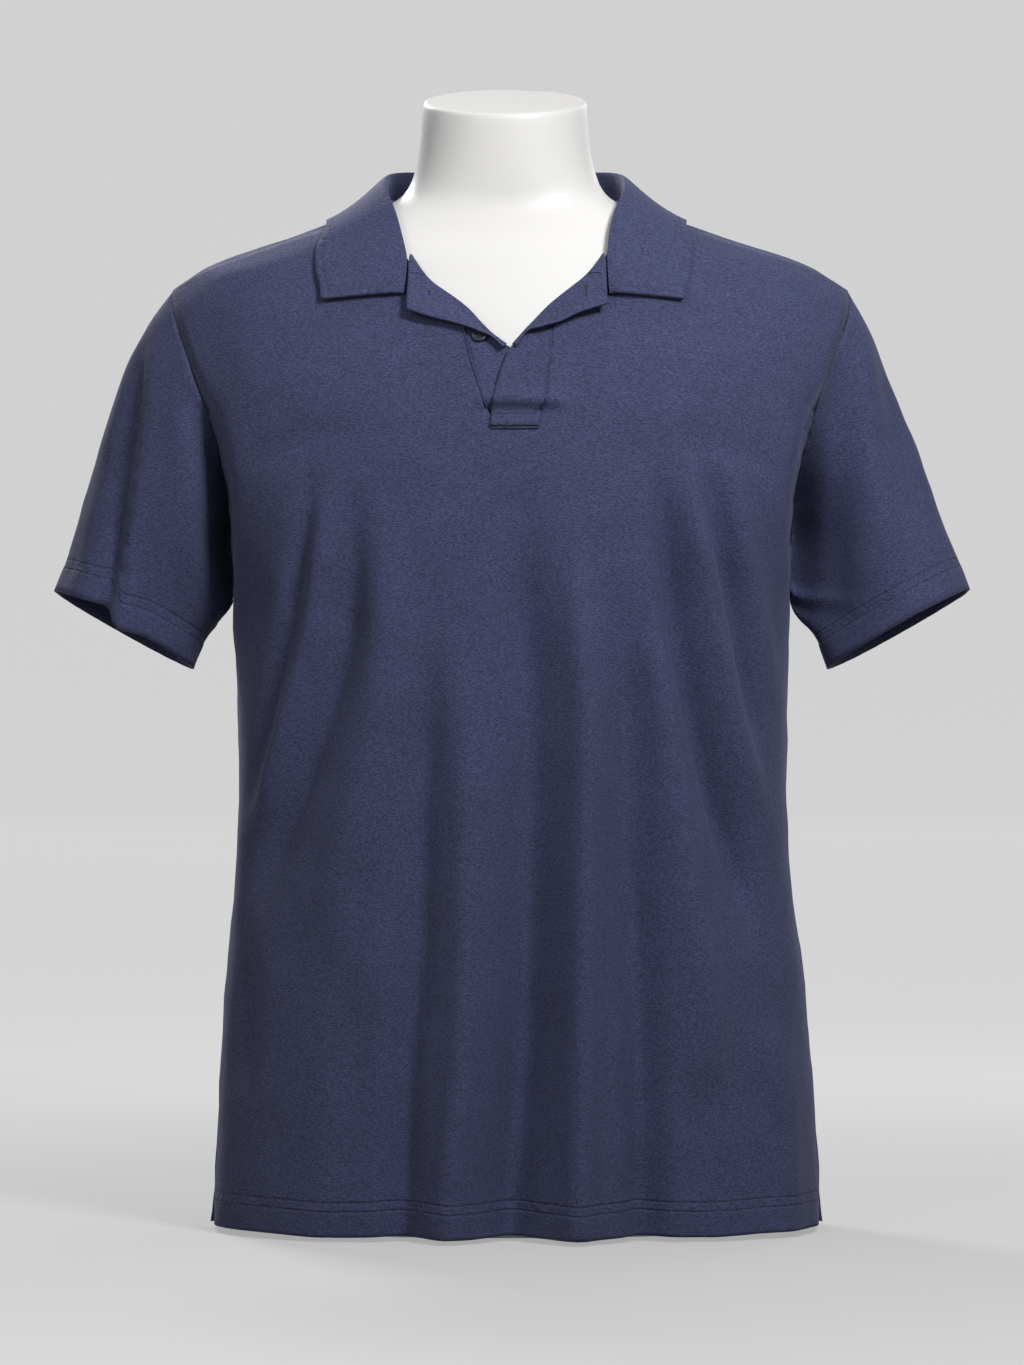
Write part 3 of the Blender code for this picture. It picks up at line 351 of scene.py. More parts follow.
def rim_chains(mesh, out, sharp):
    """The cut edges of the outer wall, as chains of (point, way into the wall, outwards)."""
    spots, beside = {}, {}
    for edge in mesh.edges:
        if len(edge.link_faces) != 2 or edge.calc_face_angle(0) < sharp:
            continue
        face = max(edge.link_faces, key=lambda f: f.calc_area())
        middle = (edge.verts[0].co + edge.verts[1].co) / 2
        if face.normal.dot(out(middle)) <= 0:
            continue
        along = (edge.verts[1].co - edge.verts[0].co).normalized()
        inward = face.calc_center_median() - middle
        inward = (inward - along * inward.dot(along)).normalized()
        for vert, other in (edge.verts, reversed(edge.verts)):
            beside.setdefault(vert, []).append(other)
            spots.setdefault(vert, []).append((inward, face.normal.copy()))
    chains = []
    while beside:  # each round follows one chain from an end, or round a loop
        ends = [v for v, near in beside.items() if len(near) == 1]
        vert = ends[0] if ends else next(iter(beside))
        chain = []
        while vert is not None:
            ins, normals = zip(*spots[vert])
            inward, normal = sum(ins, Vector()), sum(normals, Vector())
            chain.append((vert.co.copy(), inward.normalized(), normal.normalized()))
            following = next((o for o in beside.get(vert, []) if o in beside), None)
            for other in beside.pop(vert, []):
                if other in beside and vert in beside[other]:
                    beside[other].remove(vert)
            vert = following
        chains.append(chain)
    return chains


def runs(chains, keep):
    """The parts of the chains whose points a test keeps."""
    kept = []
    for chain in chains:
        marks = [keep(point, inward) for point, inward, _ in chain]
        if all(marks):
            kept.append(chain)
            continue
        start = marks.index(False)
        turned = chain[start:] + chain[: start + 1]
        part = []
        for spot in turned:
            if keep(spot[0], spot[1]):
                part.append(spot)
            else:
                if len(part) > 1:
                    kept.append(part)
                part = []
        if len(part) > 1:
            kept.append(part)
    return kept


def resampled(points, step):
    """Points at even steps along a polyline."""
    made, left = [points[0].copy()], step
    for first, second in zip(points, points[1:]):
        length = (second - first).length
        at = left
        while at <= length:
            made.append(first.lerp(second, at / length))
            at += step
        left = at - length
    return made


print("a wall is copied, merged, and subdivided", ROUNDS, "times")

# %% [markdown]
# ## Folds
# The main folds come with the solids. The rest are laid as soft troughs and ridges on
# lines across the picture: the line's points, its half width in picture points, how far it
# stands out in millimetres, and its lean. A fold that leans is high on one side of its line and
# low on the other, like a pleat. Their lengths, depths and spacing vary. The back has its own
# set, seen from behind.

# %% Fold lines
# Each row: the line's points, half width in picture points, rise in millimetres, lean
FRONT_FOLDS = (
    # right side of the body, from the chest to the hem
    (((312, 440), (302, 540), (291, 620), (271, 700), (253, 780), (238, 850)), 9, -7.0, 0),
    (((332, 450), (324, 540), (314, 620), (292, 700), (270, 780), (250, 860)), 12, 7.0, 0),
    (((352, 470), (352, 560), (346, 640), (325, 710), (301, 780), (268, 860), (240, 960)), 18, -10.0, 0),
    (((376, 480), (382, 560), (384, 640), (376, 710), (355, 790), (336, 880), (318, 980)), 24, 6.5, 0),
    (((242, 900), (246, 1010), (240, 1120)), 12, -3.0, 0),
    (((356, 960), (356, 1110), (348, 1235)), 30, -3.5, 0),
    # middle
    (((428, 600), (424, 700), (418, 820), (415, 940), (404, 1050), (396, 1235)), 18, -10.0, 0),
    (((460, 620), (466, 780), (466, 940), (462, 1050), (446, 1235)), 17, 7.0, 0),
    (((522, 460), (524, 600), (532, 720), (530, 880), (524, 1060), (508, 1235)), 26, -15.5, 0),
    (((568, 500), (578, 620), (586, 710), (583, 860), (580, 1060), (576, 1235)), 16, 10.0, 0),
    # left side of the body
    (((620, 560), (630, 700), (632, 860), (646, 1040), (648, 1235)), 20, -12.0, 0),
    (((644, 560), (664, 700), (674, 780), (690, 900), (708, 1020), (722, 1130)), 19, 7.0, 0),
    (((652, 440), (668, 540), (678, 620), (692, 700), (713, 780), (736, 860), (762, 960)), 13, -16.0, 0),
    (((684, 440), (700, 540), (714, 620), (729, 700), (752, 790), (778, 870)), 12, 8.5, 0),
    (((704, 430), (722, 540), (738, 620), (753, 700), (774, 790)), 10, -11.0, 0),
    (((726, 440), (748, 560), (764, 640), (782, 720)), 8, 5.0, 0),
    (((700, 1060), (694, 1235)), 20, -3.5, 0),
    (((770, 1010), (784, 1120), (786, 1235)), 16, 4.0, 0),
    # chest and shoulders
    (((236, 470), (296, 438), (366, 424)), 13, -2.6, 0),
    (((786, 470), (724, 446), (664, 432)), 13, -2.4, 0),
    (((252, 400), (300, 376), (344, 372)), 12, 1.8, 0),
    # the placket's foot, which pouches over its stitched box
    (((466, 399), (512, 397), (580, 400)), 8, 4.5, 0),
    (((466, 411), (516, 410), (578, 412)), 5, -4.5, 0),
)
SLEEVE_FRONT_FOLDS = (
    (((149, 300), (143, 400), (134, 470), (122, 550), (110, 622), (90, 790)), 26, 8.0, 1.0),
    (((196, 330), (180, 450), (160, 560), (146, 640)), 16, 3.0, 0),
    (((130, 340), (104, 460), (76, 580)), 12, 3.0, 0),
    (((840, 320), (840, 440), (838, 560), (836, 660)), 15, -6.0, 0),
    (((860, 300), (870, 440), (884, 560)), 13, 4.5, 0),
    (((882, 320), (908, 440), (932, 550)), 14, -4.5, 0),
)
BACK_FOLDS = (
    (((300, 560), (268, 760), (236, 960)), 15, 5.0, 0),
    (((352, 520), (318, 700), (284, 900), (262, 1040)), 17, -9.0, 0),
    (((398, 640), (372, 820), (352, 1030), (346, 1235)), 20, 5.5, 0),
    (((432, 720), (430, 900), (414, 1100), (410, 1235)), 15, -7.0, 0),
    (((476, 560), (480, 780), (470, 1000), (462, 1235)), 22, 4.5, 0),
    (((526, 480), (530, 700), (520, 940), (524, 1235)), 14, -8.5, 0),
    (((580, 620), (586, 840), (596, 1060), (590, 1235)), 20, 5.0, 0),
    (((640, 560), (650, 760), (668, 1000), (664, 1235)), 16, -8.5, 0),
    (((700, 640), (722, 830), (740, 1010), (744, 1200)), 17, 5.0, 0),
    (((742, 560), (768, 720), (786, 880)), 13, -5.0, 0),
    (((300, 330), (400, 352), (512, 356), (620, 350), (724, 332)), 17, -2.4, 0),
    (((250, 430), (330, 412), (420, 420)), 16, -2.6, 0),
    (((776, 440), (700, 414), (610, 424)), 16, -2.4, 0),
)
SLEEVE_BACK_FOLDS = (
    (((170, 320), (146, 430), (120, 560), (110, 610)), 13, 4.5, 0),
    (((194, 360), (172, 470), (150, 600)), 13, -5.0, 0),
    (((850, 330), (876, 440), (898, 570)), 14, -4.5, 0),
    (((884, 330), (910, 430), (930, 540)), 14, 3.5, 0),
)

FADE_IN, FADE_OUT = 0.28, 0.3  # the shares of a fold's length in which it rises and dies away
HEM_PICTURE_ROW = 1200  # a fold whose line ends below this picture row runs out through the hem
STEP_SHARPNESS = 8  # how abruptly a leaning fold steps from its high to its low side


def eased(values):
    """0 to 1, with a soft start and end."""
    t = np.clip(values, 0, 1)
    return t * t * (3 - 2 * t)


def fold_heights(folds, column, row):
    """How far the folds stand out at picture points, in millimetres."""
    height = np.zeros(len(column))
    for line, width, rise, lean in folds:
        steps = [math.dist(a, b) for a, b in zip(line, line[1:])]
        near = np.full(len(column), 1e9)
        side = np.zeros(len(column))
        share = np.zeros(len(column))
        gone = 0.0
        for (ax, ay), (bx, by), step in zip(line, line[1:], steps):
            t = ((column - ax) * (bx - ax) + (row - ay) * (by - ay)) / step**2
            t = np.clip(t, 0, 1)
            off = np.hypot(column - ax - t * (bx - ax), row - ay - t * (by - ay))
            closer = off < near
            share = np.where(closer, (gone + t * step) / sum(steps), share)
            turn = (column - ax) * (by - ay) - (row - ay) * (bx - ax)
            side = np.where(closer, np.sign(turn), side)
            near = np.where(closer, off, near)
            gone += step
        end = 1.0 if line[-1][1] > HEM_PICTURE_ROW else eased((1 - share) / FADE_OUT)
        fade = eased(share / FADE_IN) * end
        off = near / width
        step = side * (1 - np.exp(-((off * STEP_SHARPNESS) ** 2)))
        shape = (1 - abs(lean)) + lean * step
        height += rise * fade * shape * np.exp(-(off**2))
    return height


def pleats(folds):
    """The folds that lean."""
    return tuple(fold for fold in folds if fold[3])


print(len(FRONT_FOLDS) + len(SLEEVE_FRONT_FOLDS), "folds in front,",
      len(BACK_FOLDS) + len(SLEEVE_BACK_FOLDS), "behind")

# %% [markdown]
# ## Bending the cloth
# Both faces of a wall move by the same amount in the same direction, so the cloth keeps its
# thickness, and two pieces that meet at a seam move alike there. Down its armhole a sleeve
# turns back towards the underarm, which leaves a deep valley beside the body. The valley is
# wider on the sleeves than on the panels, so low down their edges part by some millimetres,
# which shows from behind. Last, anything that would go into the form is pushed out of it.


# %% Sizes of the bend, and cut edges
FAR = 100.0  # stands for "nowhere near", in millimetres
SIDE_REACH, SIDE_SHARE = 0.035, 0.1  # how the front's folds fade into the back's at the sides
HEM_DEPTH_TOP, HEM_DEPTH_FADE = 0.40, 0.3  # folds deepen downwards from this height, over this
WOBBLES = ((24, 1.3), (62, 0.5))  # scale and height of each slow unevenness, height in mm
DEEPER = 0.6  # how much deeper the folds are at the hem than at the waist, as a share
PLEAT_DROP = 0.8  # how far a pleat's near side slips down, for each millimetre it stands out
SEAM_CLOSING = 0.28  # how far each cut edge reaches towards its neighbour, in millimetres
VENT_SPREAD = 3.5  # how far the back's vent edges are drawn in, in millimetres
VENT_TOP, VENT_FADE = 0.062, 0.05  # the height where that starts, and over what it grows
VENT_INNER, VENT_WIDTH = 0.15, 0.06  # how far from the middle it starts, and over what it grows
VALLEY_FLOOR = 12.0  # how far behind the shirt's middle the valley's floor lies, in millimetres
VALLEY_TOP, VALLEY_TOP_FADE = 0.625, 0.13
VALLEY_FOOT, VALLEY_FOOT_FADE = 0.40, 0.05
VALLEY_ROUNDNESS = 1.6  # 1 is a sharp groove, 2 a round one
VALLEY_BEHIND = 0.4  # the share by which points behind the floor are pressed
FORM_REACH, FORM_GAP = 0.03, 0.5 * MM  # how far off the form counts, and the least gap to it
FLAP_FADE = 26  # picture rows below a flap's edge in which its drop dies away


def tree_of(spots):
    tree = kdtree.KDTree(len(spots))
    for index, spot in enumerate(spots):
        tree.insert(spot, index)
    tree.balance()
    return tree


def gaps_to(points, spots):
    """Distance in millimetres from each point to the nearest of the spots."""
    if not spots:
        return np.full(len(points), FAR)
    tree = tree_of(spots)
    return np.array([tree.find(point)[2] for point in points]) / MM


def closed_up(points, chains):
    """Moves points on cut edges a little out of their wall, so most seams look closed."""
    spots = [
        (first[0].lerp(second[0], step / 8), first[1].lerp(second[1], step / 8))
        for chain in chains
        for first, second in zip(chain, chain[1:])
        for step in range(8)
    ]
    tree = tree_of([place for place, _ in spots])
    moved = points.copy()
    for number, point in enumerate(points):
        _, index, distance = tree.find(point)
        share = math.exp(-((distance / MM) ** 2))
        moved[number] = point - np.array(spots[index][1]) * share * SEAM_CLOSING * MM
    return moved


def vents_drawn_in(points):
    """Draws the lower ends of a panel's sides in, so that the vents hardly open."""
    low = eased((VENT_TOP - points[:, 2]) / VENT_FADE)
    share = low * eased((np.abs(points[:, 0]) - VENT_INNER) / VENT_WIDTH)
    moved = points.copy()
    moved[:, 0] -= np.sign(points[:, 0]) * share * VENT_SPREAD * MM
    return moved


# The turned placket corners hang lower than their solids: for a picture column, the row of the
# roll, the row of the lower edge, and how much lower that edge lies.
FLAP_DROPS = (
    (400, 250, 306, 4.0), (411, 256, 307, 4.5), (440, 282, 312, 7.0), (464, 302, 318, 6.5),
    (480, 313, 324, 6.0), (494, 327, 332, 2.5), (508, 345, 346, 0.0), (528, 322, 330, 0.0),
    (540, 311, 320, 5.0), (560, 294, 312, 8.0), (580, 277, 308, 5.5), (606, 254, 302, 4.0),
)


def flaps_lowered(points):
    """Draws the turned placket corners down, from their roll to their lower edge."""
    column, row = seen_at(points)
    at, roll, low, drop = (np.array(values, dtype=float) for values in zip(*FLAP_DROPS))
    roll, low = np.interp(column, at, roll), np.interp(column, at, low)
    down = eased((row - roll) / (low - roll)) * eased(1 - (row - low) / FLAP_FADE)
    moved = points.copy()
    moved[:, 2] -= np.interp(column, at, drop) * down * PIXEL
    return moved


print(len(FLAP_DROPS), "stations along the turned corners")


# %% Bend the points
def chain_spots(chains):
    """Points at every 1.5 mm along chains."""
    return [p for chain in chains for p in resampled([spot[0] for spot in chain], 1.5 * MM)]


FORM_TREE = BVHTree.FromBMesh(wall_copy("dress_form"))


def bend(points, outwards, front, back, wobble):
    """Lays the folds and a slow unevenness on an array of points."""
    front_height = fold_heights(front, *seen_at(points))
    back_height = fold_heights(back, *seen_at(points, behind=True))
    in_front = eased(-points[:, 1] / SIDE_REACH + SIDE_SHARE)
    behind = eased(points[:, 1] / SIDE_REACH + SIDE_SHARE)
    height = front_height * in_front + back_height * behind
    height *= 1 + DEEPER * eased((HEM_DEPTH_TOP - points[:, 2]) / HEM_DEPTH_FADE)
    slow = [sum(noise.noise(Vector(p) * scale) * high for scale, high in WOBBLES) for p in points]
    height += np.array(slow) * wobble
    moved = points + outwards * (height * MM)[:, None]
    drop = fold_heights(pleats(front), *seen_at(points)) * in_front
    moved[:, 2] -= drop * PLEAT_DROP * MM
    return moved


def armhole_valley(points, armhole_gap, width):
    """Presses the cloth back beside the lower armhole, from the front and a little from behind."""
    low = eased((VALLEY_TOP - points[:, 2]) / VALLEY_TOP_FADE)
    low *= eased((points[:, 2] - VALLEY_FOOT) / VALLEY_FOOT_FADE)
    share = low * np.exp(-((armhole_gap / width) ** VALLEY_ROUNDNESS))
    behind = points[:, 1] - VALLEY_FLOOR * MM
    moved = points.copy()
    moved[:, 1] -= share * np.where(behind < 0, behind, behind * VALLEY_BEHIND)
    return moved


def kept_off_form(points, outer, thick):
    """Moves points that are in the form, or closer than half a millimetre, out of it."""
    moved = points.copy()
    for index, point in enumerate(points):
        place = Vector(point)
        found, normal, _, _ = FORM_TREE.find_nearest(place, FORM_REACH)
        if found is None:
            continue
        height = (place - found).dot(normal)
        least = FORM_GAP + thick * outer[index]
        if height < least:
            moved[index] = place + normal * (least - height)
    return moved


# %% [markdown]
# ## One cloth from one solid
# `supple` subdivides a wall and applies that, so that its points can be moved one by one.
# `cloth` does everything for one node: copy, subdivide, measure the distances to hem and seams,
# bend, and hand the piece to the frame.


# %% Make one cloth
ARMHOLE_BLEND = 40  # over this many mm from the armhole a sleeve takes its own way outwards


def supple(name, mesh, sharp):
    """Turns a wall into an object, subdivided with its cut edges kept."""
    crease = mesh.edges.layers.float.new("crease_edge")
    for edge in mesh.edges:
        if edge.calc_face_angle(0) > sharp:
            edge[crease] = 1.0
    made = placed(name, mesh_data(name, mesh))
    smooth = made.modifiers.new("supple", "SUBSURF")
    smooth.levels = smooth.render_levels = ROUNDS
    made.data = evaluated(made)
    made.data.name = name
    made.modifiers.clear()
    smooth_faces(made.data)
    return made


def attribute(data, name, values):
    layer = data.attributes.new(name, "FLOAT", "POINT")
    layer.data.foreach_set("value", np.asarray(values, dtype=np.float32))


CHAINS = {}
TREES = {}


def cloth(node, out, hem, seams, armhole, rows, folds, valley=None, sharp=1.05, wobble=1.0,
          thick=1.5):
    """The cloth of one node: tests on each point choose its hem, seams, armhole and the cut
    edges that a single row of stitches follows."""
    name = node + "_cloth"
    mesh = wall_copy(node)
    chains = rim_chains(mesh, out, sharp)
    outer = mesh.verts.layers.float.new("outer_wall")
    for vert in mesh.verts:
        towards = sum((f.normal * f.calc_area() for f in vert.link_faces), Vector())
        vert[outer] = 1.0 if towards.dot(out(vert.co)) > 0 else 0.0
    made = supple(name, mesh, sharp)
    data = made.data
    points = np.empty(len(data.vertices) * 3)
    data.vertices.foreach_get("co", points)
    points = points.reshape(-1, 3)
    is_outer = np.empty(len(points))
    data.attributes["outer_wall"].data.foreach_get("value", is_outer)
    hem_gap = gaps_to(points, chain_spots(runs(chains, hem)))
    seam_gap = gaps_to(points, chain_spots(runs(chains, seams)))
    row_gap = gaps_to(points, chain_spots(runs(chains, rows)))
    armhole_gap = gaps_to(points, chain_spots(runs(chains, armhole)))
    outwards = np.array([straight_out(Vector(p)) for p in points])
    if out is not straight_out:
        share = eased(armhole_gap / ARMHOLE_BLEND)[:, None]
        outwards = np.array([out(Vector(p)) for p in points]) * share + outwards * (1 - share)
        outwards /= np.linalg.norm(outwards, axis=1)[:, None]
    moved = bend(closed_up(points, chains), outwards, *folds, wobble)
    if valley:
        moved = armhole_valley(moved, armhole_gap, valley)
    if node == "back":
        moved = vents_drawn_in(moved)
    if node in ("placket_top", "placket_under"):
        moved = flaps_lowered(moved)
    moved = kept_off_form(moved, is_outer, thick * MM)
    data.vertices.foreach_set("co", moved.ravel())
    attribute(data, "hem_gap", hem_gap)
    attribute(data, "seam_gap", seam_gap)
    attribute(data, "row_gap", row_gap)
    data.update()
    data.materials.clear()
    data.materials.append(KNIT)
    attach(made, "root")
    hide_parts(node)
    CHAINS[node] = chains
    TREES[node] = BVHTree.FromPolygons(
        [v.co.copy() for v in data.vertices], [tuple(f.vertices) for f in data.polygons]
    )
    print(name, "has", sum(len(f.vertices) - 2 for f in data.polygons), "triangles and",
          len(chains), "chains")
    return made


# %% [markdown]
# ## The body and the sleeves
# Front and back are one piece of knit each. Their lower edges are the hem, and what lies near
# the sides, the armholes and the shoulders is a seam. Small tests on a point and on the way into
# the wall there tell these edges apart.

# %% Body
HEM_TOP, STEEP = 0.022, 0.6  # a hem lies below this height, and its wall runs up from it
VENT_LOW, VENT_HIGH = 0.006, 0.058
SIDE_SEAM, SHOULDER = 0.13, 0.715
ARMHOLE_LOW, ARMHOLE_HIGH, ARMHOLE_INNER = 0.45, 0.69, 0.16


def at_hem(point, inward):
    return point.z < HEM_TOP and inward.z > STEEP


def at_vent(point, inward):
    return VENT_LOW < point.z < VENT_HIGH and abs(inward.z) < STEEP


def at_body_seam(point, inward):
    return point.z > VENT_HIGH and (abs(point.x) > SIDE_SEAM or point.z > SHOULDER)


def at_body_armhole(point, inward):
    return ARMHOLE_LOW < point.z < ARMHOLE_HIGH and abs(point.x) > ARMHOLE_INNER


BODY = (straight_out, at_hem, at_body_seam, at_body_armhole, at_vent)
BODY_FOLDS = (FRONT_FOLDS, BACK_FOLDS)
front = cloth("front", *BODY, BODY_FOLDS, valley=3.5)
back = cloth("back", *BODY, BODY_FOLDS, valley=3.5)


# %% [markdown]
# A sleeve has a hem, and all its other cut edge is the armhole. It takes the body's folds too,
# so that it stays near the body at the seam.


# %% Sleeves
def at_sleeve_hem(point, inward):
    return point.z < 0.49 and inward.z > 0.4


def at_armhole(point, inward):
    return not at_sleeve_hem(point, inward)


def nowhere(point, inward):
    return False


SLEEVE = (at_sleeve_hem, at_armhole, at_armhole, nowhere)
SLEEVE_FOLDS = (FRONT_FOLDS + SLEEVE_FRONT_FOLDS, BACK_FOLDS + SLEEVE_BACK_FOLDS)
sleeve_left = cloth("sleeve_left", sleeve_out(1), *SLEEVE, SLEEVE_FOLDS, valley=34)
sleeve_right = cloth("sleeve_right", sleeve_out(-1), *SLEEVE, SLEEVE_FOLDS, valley=12)

# %% [markdown]
# ## Collar and placket
# The collar is two layers with an interlining, so it takes no folds and stays even.
# The placket strips are folded double, and their top corners turn back like small lapels.


# %% Collar and placket strips
def at_leaf_edge(point, inward):
    return inward.z > -0.2


LEAF = (straight_out, nowhere, nowhere, nowhere, at_leaf_edge)
STRIP = (straight_out, nowhere, nowhere, nowhere, nowhere)
collar = cloth("collar", *LEAF, ((), ()), sharp=1.2, wobble=0.0, thick=2.2)
placket_top = cloth("placket_top", *STRIP, BODY_FOLDS, sharp=1.2, thick=1.8)
placket_under = cloth("placket_under", *STRIP, BODY_FOLDS, sharp=1.2, thick=1.8)

# %% [markdown]
# ## Form
# The form's solid has flat facets. Its copy is subdivided, with its sharp rims kept.

# %% Form
form = supple("form_body", wall_copy("dress_form"), 0.9)
form.data.materials.clear()
form.data.materials.append(SHELL)
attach(form, "root")
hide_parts("dress_form")
print(form.name, "has", len(form.data.polygons), "faces")

# %% [markdown]
# ## Stitches
# A stitch is a short bead of thread, partly sunk in the cloth. All stitches of a row are
# one mesh. The rows follow the cut edges at a set distance, and each stitch is laid on the
# finished cloth, so it follows its folds.


# %% Stitch rows
STITCH_LIFT = 0.06  # how far a stitch's middle lies above the cloth, in millimetres


def stitch_row(name, lines, surface, length=2.3, gap=1.1, thick=0.42, thread=THREAD):
    mesh = bmesh.new()
    count = 0
    for line in lines:
        spots = resampled(line, (length + gap) * MM)
        for first, second in zip(spots, spots[1:]):
            place, normal, _, _ = surface.find_nearest(first.lerp(second, 0.5))
            if place is None:
                continue
            along = second - first
            along = (along - normal * along.dot(normal)).normalized()
            across = normal.cross(along)
            ball = bmesh.ops.create_icosphere(mesh, subdivisions=1, radius=1.0)
            half = (length / 2 * random.uniform(0.9, 1.08)) * MM
            for vert in ball["verts"]:
                at = vert.co
                vert.co = (
                    place
                    + along * at.x * half
                    + across * at.y * thick / 2 * MM
                    + normal * (at.z * thick / 2 + STITCH_LIFT) * MM
                )
            count += 1
    data = mesh_data(name, mesh)
    data.materials.append(thread)
    smooth_faces(data)
    made = placed(name, data)
    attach(made, "root")
    print(name, "has", count, "stitches")


def inset(chains, distance):
    """Lines beside chains, a distance in millimetres into the wall."""
    return [[point + inward * distance * MM for point, inward, _ in chain] for chain in chains]


for node in ("front", "back"):
    chains = CHAINS[node]
    hem_lines = [line for row in HEM_ROWS for line in inset(runs(chains, at_hem), row)]
    stitch_row(node + "_hem_stitches", hem_lines, TREES[node])
    stitch_row(node + "_vent_stitches", inset(runs(chains, at_vent), SEAM_ROW), TREES[node])

for node in ("sleeve_left", "sleeve_right"):
    hems = runs(CHAINS[node], at_sleeve_hem)
    lines = [line for row in HEM_ROWS for line in inset(hems, row)]
    stitch_row(node + "_hem_stitches", lines, TREES[node])

stitch_row("collar_stitches", inset(runs(CHAINS["collar"], at_leaf_edge), SEAM_ROW + 0.5),
           TREES["collar"])

# %% [markdown]
# ## Sewn lines on the front
# The placket's strips are topstitched beside their seams, and their foot ends in a small
# stitched box. These lines are read from the picture and laid on the cloth along the line of
# sight.


# %% Placket stitches
def first_hit(column, row, nodes):
    """The nearest point on some cloths along a line of sight, and the node it is on."""
    hits = []
    for node in nodes:
        place, normal, _, distance = TREES[node].ray_cast(EYE, line_of_sight(column, row))
        if place is not None:
            hits.append((distance, place, normal, node))
    return min(hits, key=lambda hit: hit[0]) if hits else None


def sighted_spots(line, nodes, lift=0.0):
    """Points on the cloth along a line in the picture, and the node that the first is on."""
    spots = []
    for (ax, ay), (bx, by) in zip(line, line[1:]):
        steps = max(2, int(math.dist((ax, ay), (bx, by)) / 2))
        for step in range(steps + 1):
            t = step / steps
            hit = first_hit(ax + (bx - ax) * t, ay + (by - ay) * t, nodes)
            if hit:
                spots.append((hit[1] + hit[2] * lift * MM, hit[3]))
    return [place for place, _ in spots], spots[0][1]


def sighted_row(name, line, nodes, length=1.9, gap=0.9, thick=0.36, thread=THREAD):
    spots, node = sighted_spots(line, nodes)
    stitch_row(name, [spots], TREES[node], length, gap, thick, thread)


def rolled_edge(name, line, nodes, thick, lift=0.3):
    """The folded edge of a cloth, raised a little where it is edge-stitched."""
    spots, node = sighted_spots(line, nodes, lift)
    curve = bpy.data.curves.new(name, "CURVE")
    curve.dimensions, curve.bevel_depth, curve.bevel_resolution = "3D", thick / 2 * MM, 2
    curve.use_fill_caps = True
    places = resampled(spots, 2 * MM)
    spline = curve.splines.new("POLY")
    spline.points.add(len(places) - 1)
    for knot, place in zip(spline.points, places):
        knot.co = (*place, 1)
    tube = placed(name, curve)
    data = evaluated(tube)
    bpy.data.objects.remove(tube)
    data.name = name
    smooth_faces(data)
    for gap in ("hem_gap", "seam_gap", "row_gap"):
        attribute(data, gap, [FAR] * len(data.vertices))
    data.materials.append(KNIT)
    made = placed(name, data)
    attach(made, "root")
    print(name, "is", len(places), "points long")


TOP, UNDER = ("placket_top",), ("placket_under",)
sighted_row("top_strip_stitches", ((552, 324), (547, 350), (543, 386), (538, 408)), TOP)
sighted_row("box_stitches", ((494, 416), (538, 416), (538, 424), (494, 424), (494, 416)), TOP)
sighted_row("under_strip_stitches", ((468, 334), (476, 362), (491, 404)), UNDER + ("front",))
SEAM_SIDES = ("placket_top", "placket_under", "front")
rolled_edge("under_strip_edge", ((463, 326), (467, 344), (474, 370), (488, 410)), SEAM_SIDES, 1.3, 0.5)
rolled_edge("top_strip_edge", ((554, 322), (550, 350), (546, 386), (541, 410)), SEAM_SIDES, 0.8, 0.15)
rolled_edge("box_upper_edge", ((492, 413), (540, 413)), TOP, 1.0)
rolled_edge("box_lower_edge", ((491, 427.6), (540, 427.6)), ("front",), 1.6, 0.9)

# %% [markdown]
# The ends of the neck tape show as thin edges and as dark marks of painted shade on the turned corners.
# The empty corner has the buttonhole, with painted shade in its slit, and the other the loose ends of
# its button's thread, drawn in painted shade too.

# %% Neck tape ends and buttonhole
# The tape marks and the loose thread ends are drawn in the painted-shade copy of the thread.
sighted_row("left_tape_stitches", ((602, 275), (601, 288), (598, 301)), TOP, thread=SHADED_THREAD)
sighted_row("right_tape_stitches", ((426, 278), (425, 290), (422, 305)), UNDER, thread=SHADED_THREAD)
rolled_edge("left_tape_edge", ((586, 274), (593, 272), (602, 273)), TOP, 1.0)
rolled_edge("right_tape_edge", ((411, 273), (418, 272.5), (426, 276)), UNDER, 1.0)
sighted_row("loose_thread_ends", ((428.5, 290), (430.5, 298)), UNDER, 2.6, 0.2, 1.3, SHADED_THREAD)
for name, column in (("outer", 585.0), ("inner", 588.6)):
    line = ((column, 282), (column - 1.5, 299))
    sighted_row(f"buttonhole_{name}_thread", line, TOP, 0.7, 0.02, 0.8)
# A near-black bead in the slit is painted shade: it stands for the shadow inside the buttonhole.
sighted_row("buttonhole_slit", ((586.8, 284), (585.3, 298)), TOP, 3.6, -1.2, 1.2, SHADED_THREAD)

# %% [markdown]
# ## Buttons
# A shirt button is turned: a raised rim round a shallow dish with four holes, sewn on through
# them. Each one is spun from a half profile on the place and axis of its solid, its holes are
# cut by four small rods, and two pairs of threads cross its dish.


# %% Buttons
HOLE_RADIUS, HOLE_OFFSET = 0.75, 1.5  # of each of the four holes, from the middle, mm
THREAD_LINES, STRANDS = (-1.05, 1.05), (-0.22, 0.22)  # two crossings of two strands each, mm
STRAND = (1.75, 0.2, 0.22)  # half length, half width and half height of a strand, mm
ARCH, DISH = 0.25, 0.34  # mm by which its ends lie lower, and its height as a share of the half
# The half profile: share of the radius, share of the half thickness
PROFILE = (
    (0.0, 0.30), (0.45, 0.30), (0.62, 0.42), (0.72, 0.88), (0.84, 1.0), (0.95, 0.82),
    (1.0, 0.35), (0.97, -0.35), (0.8, -0.85), (0.5, -1.0), (0.0, -1.0),
)


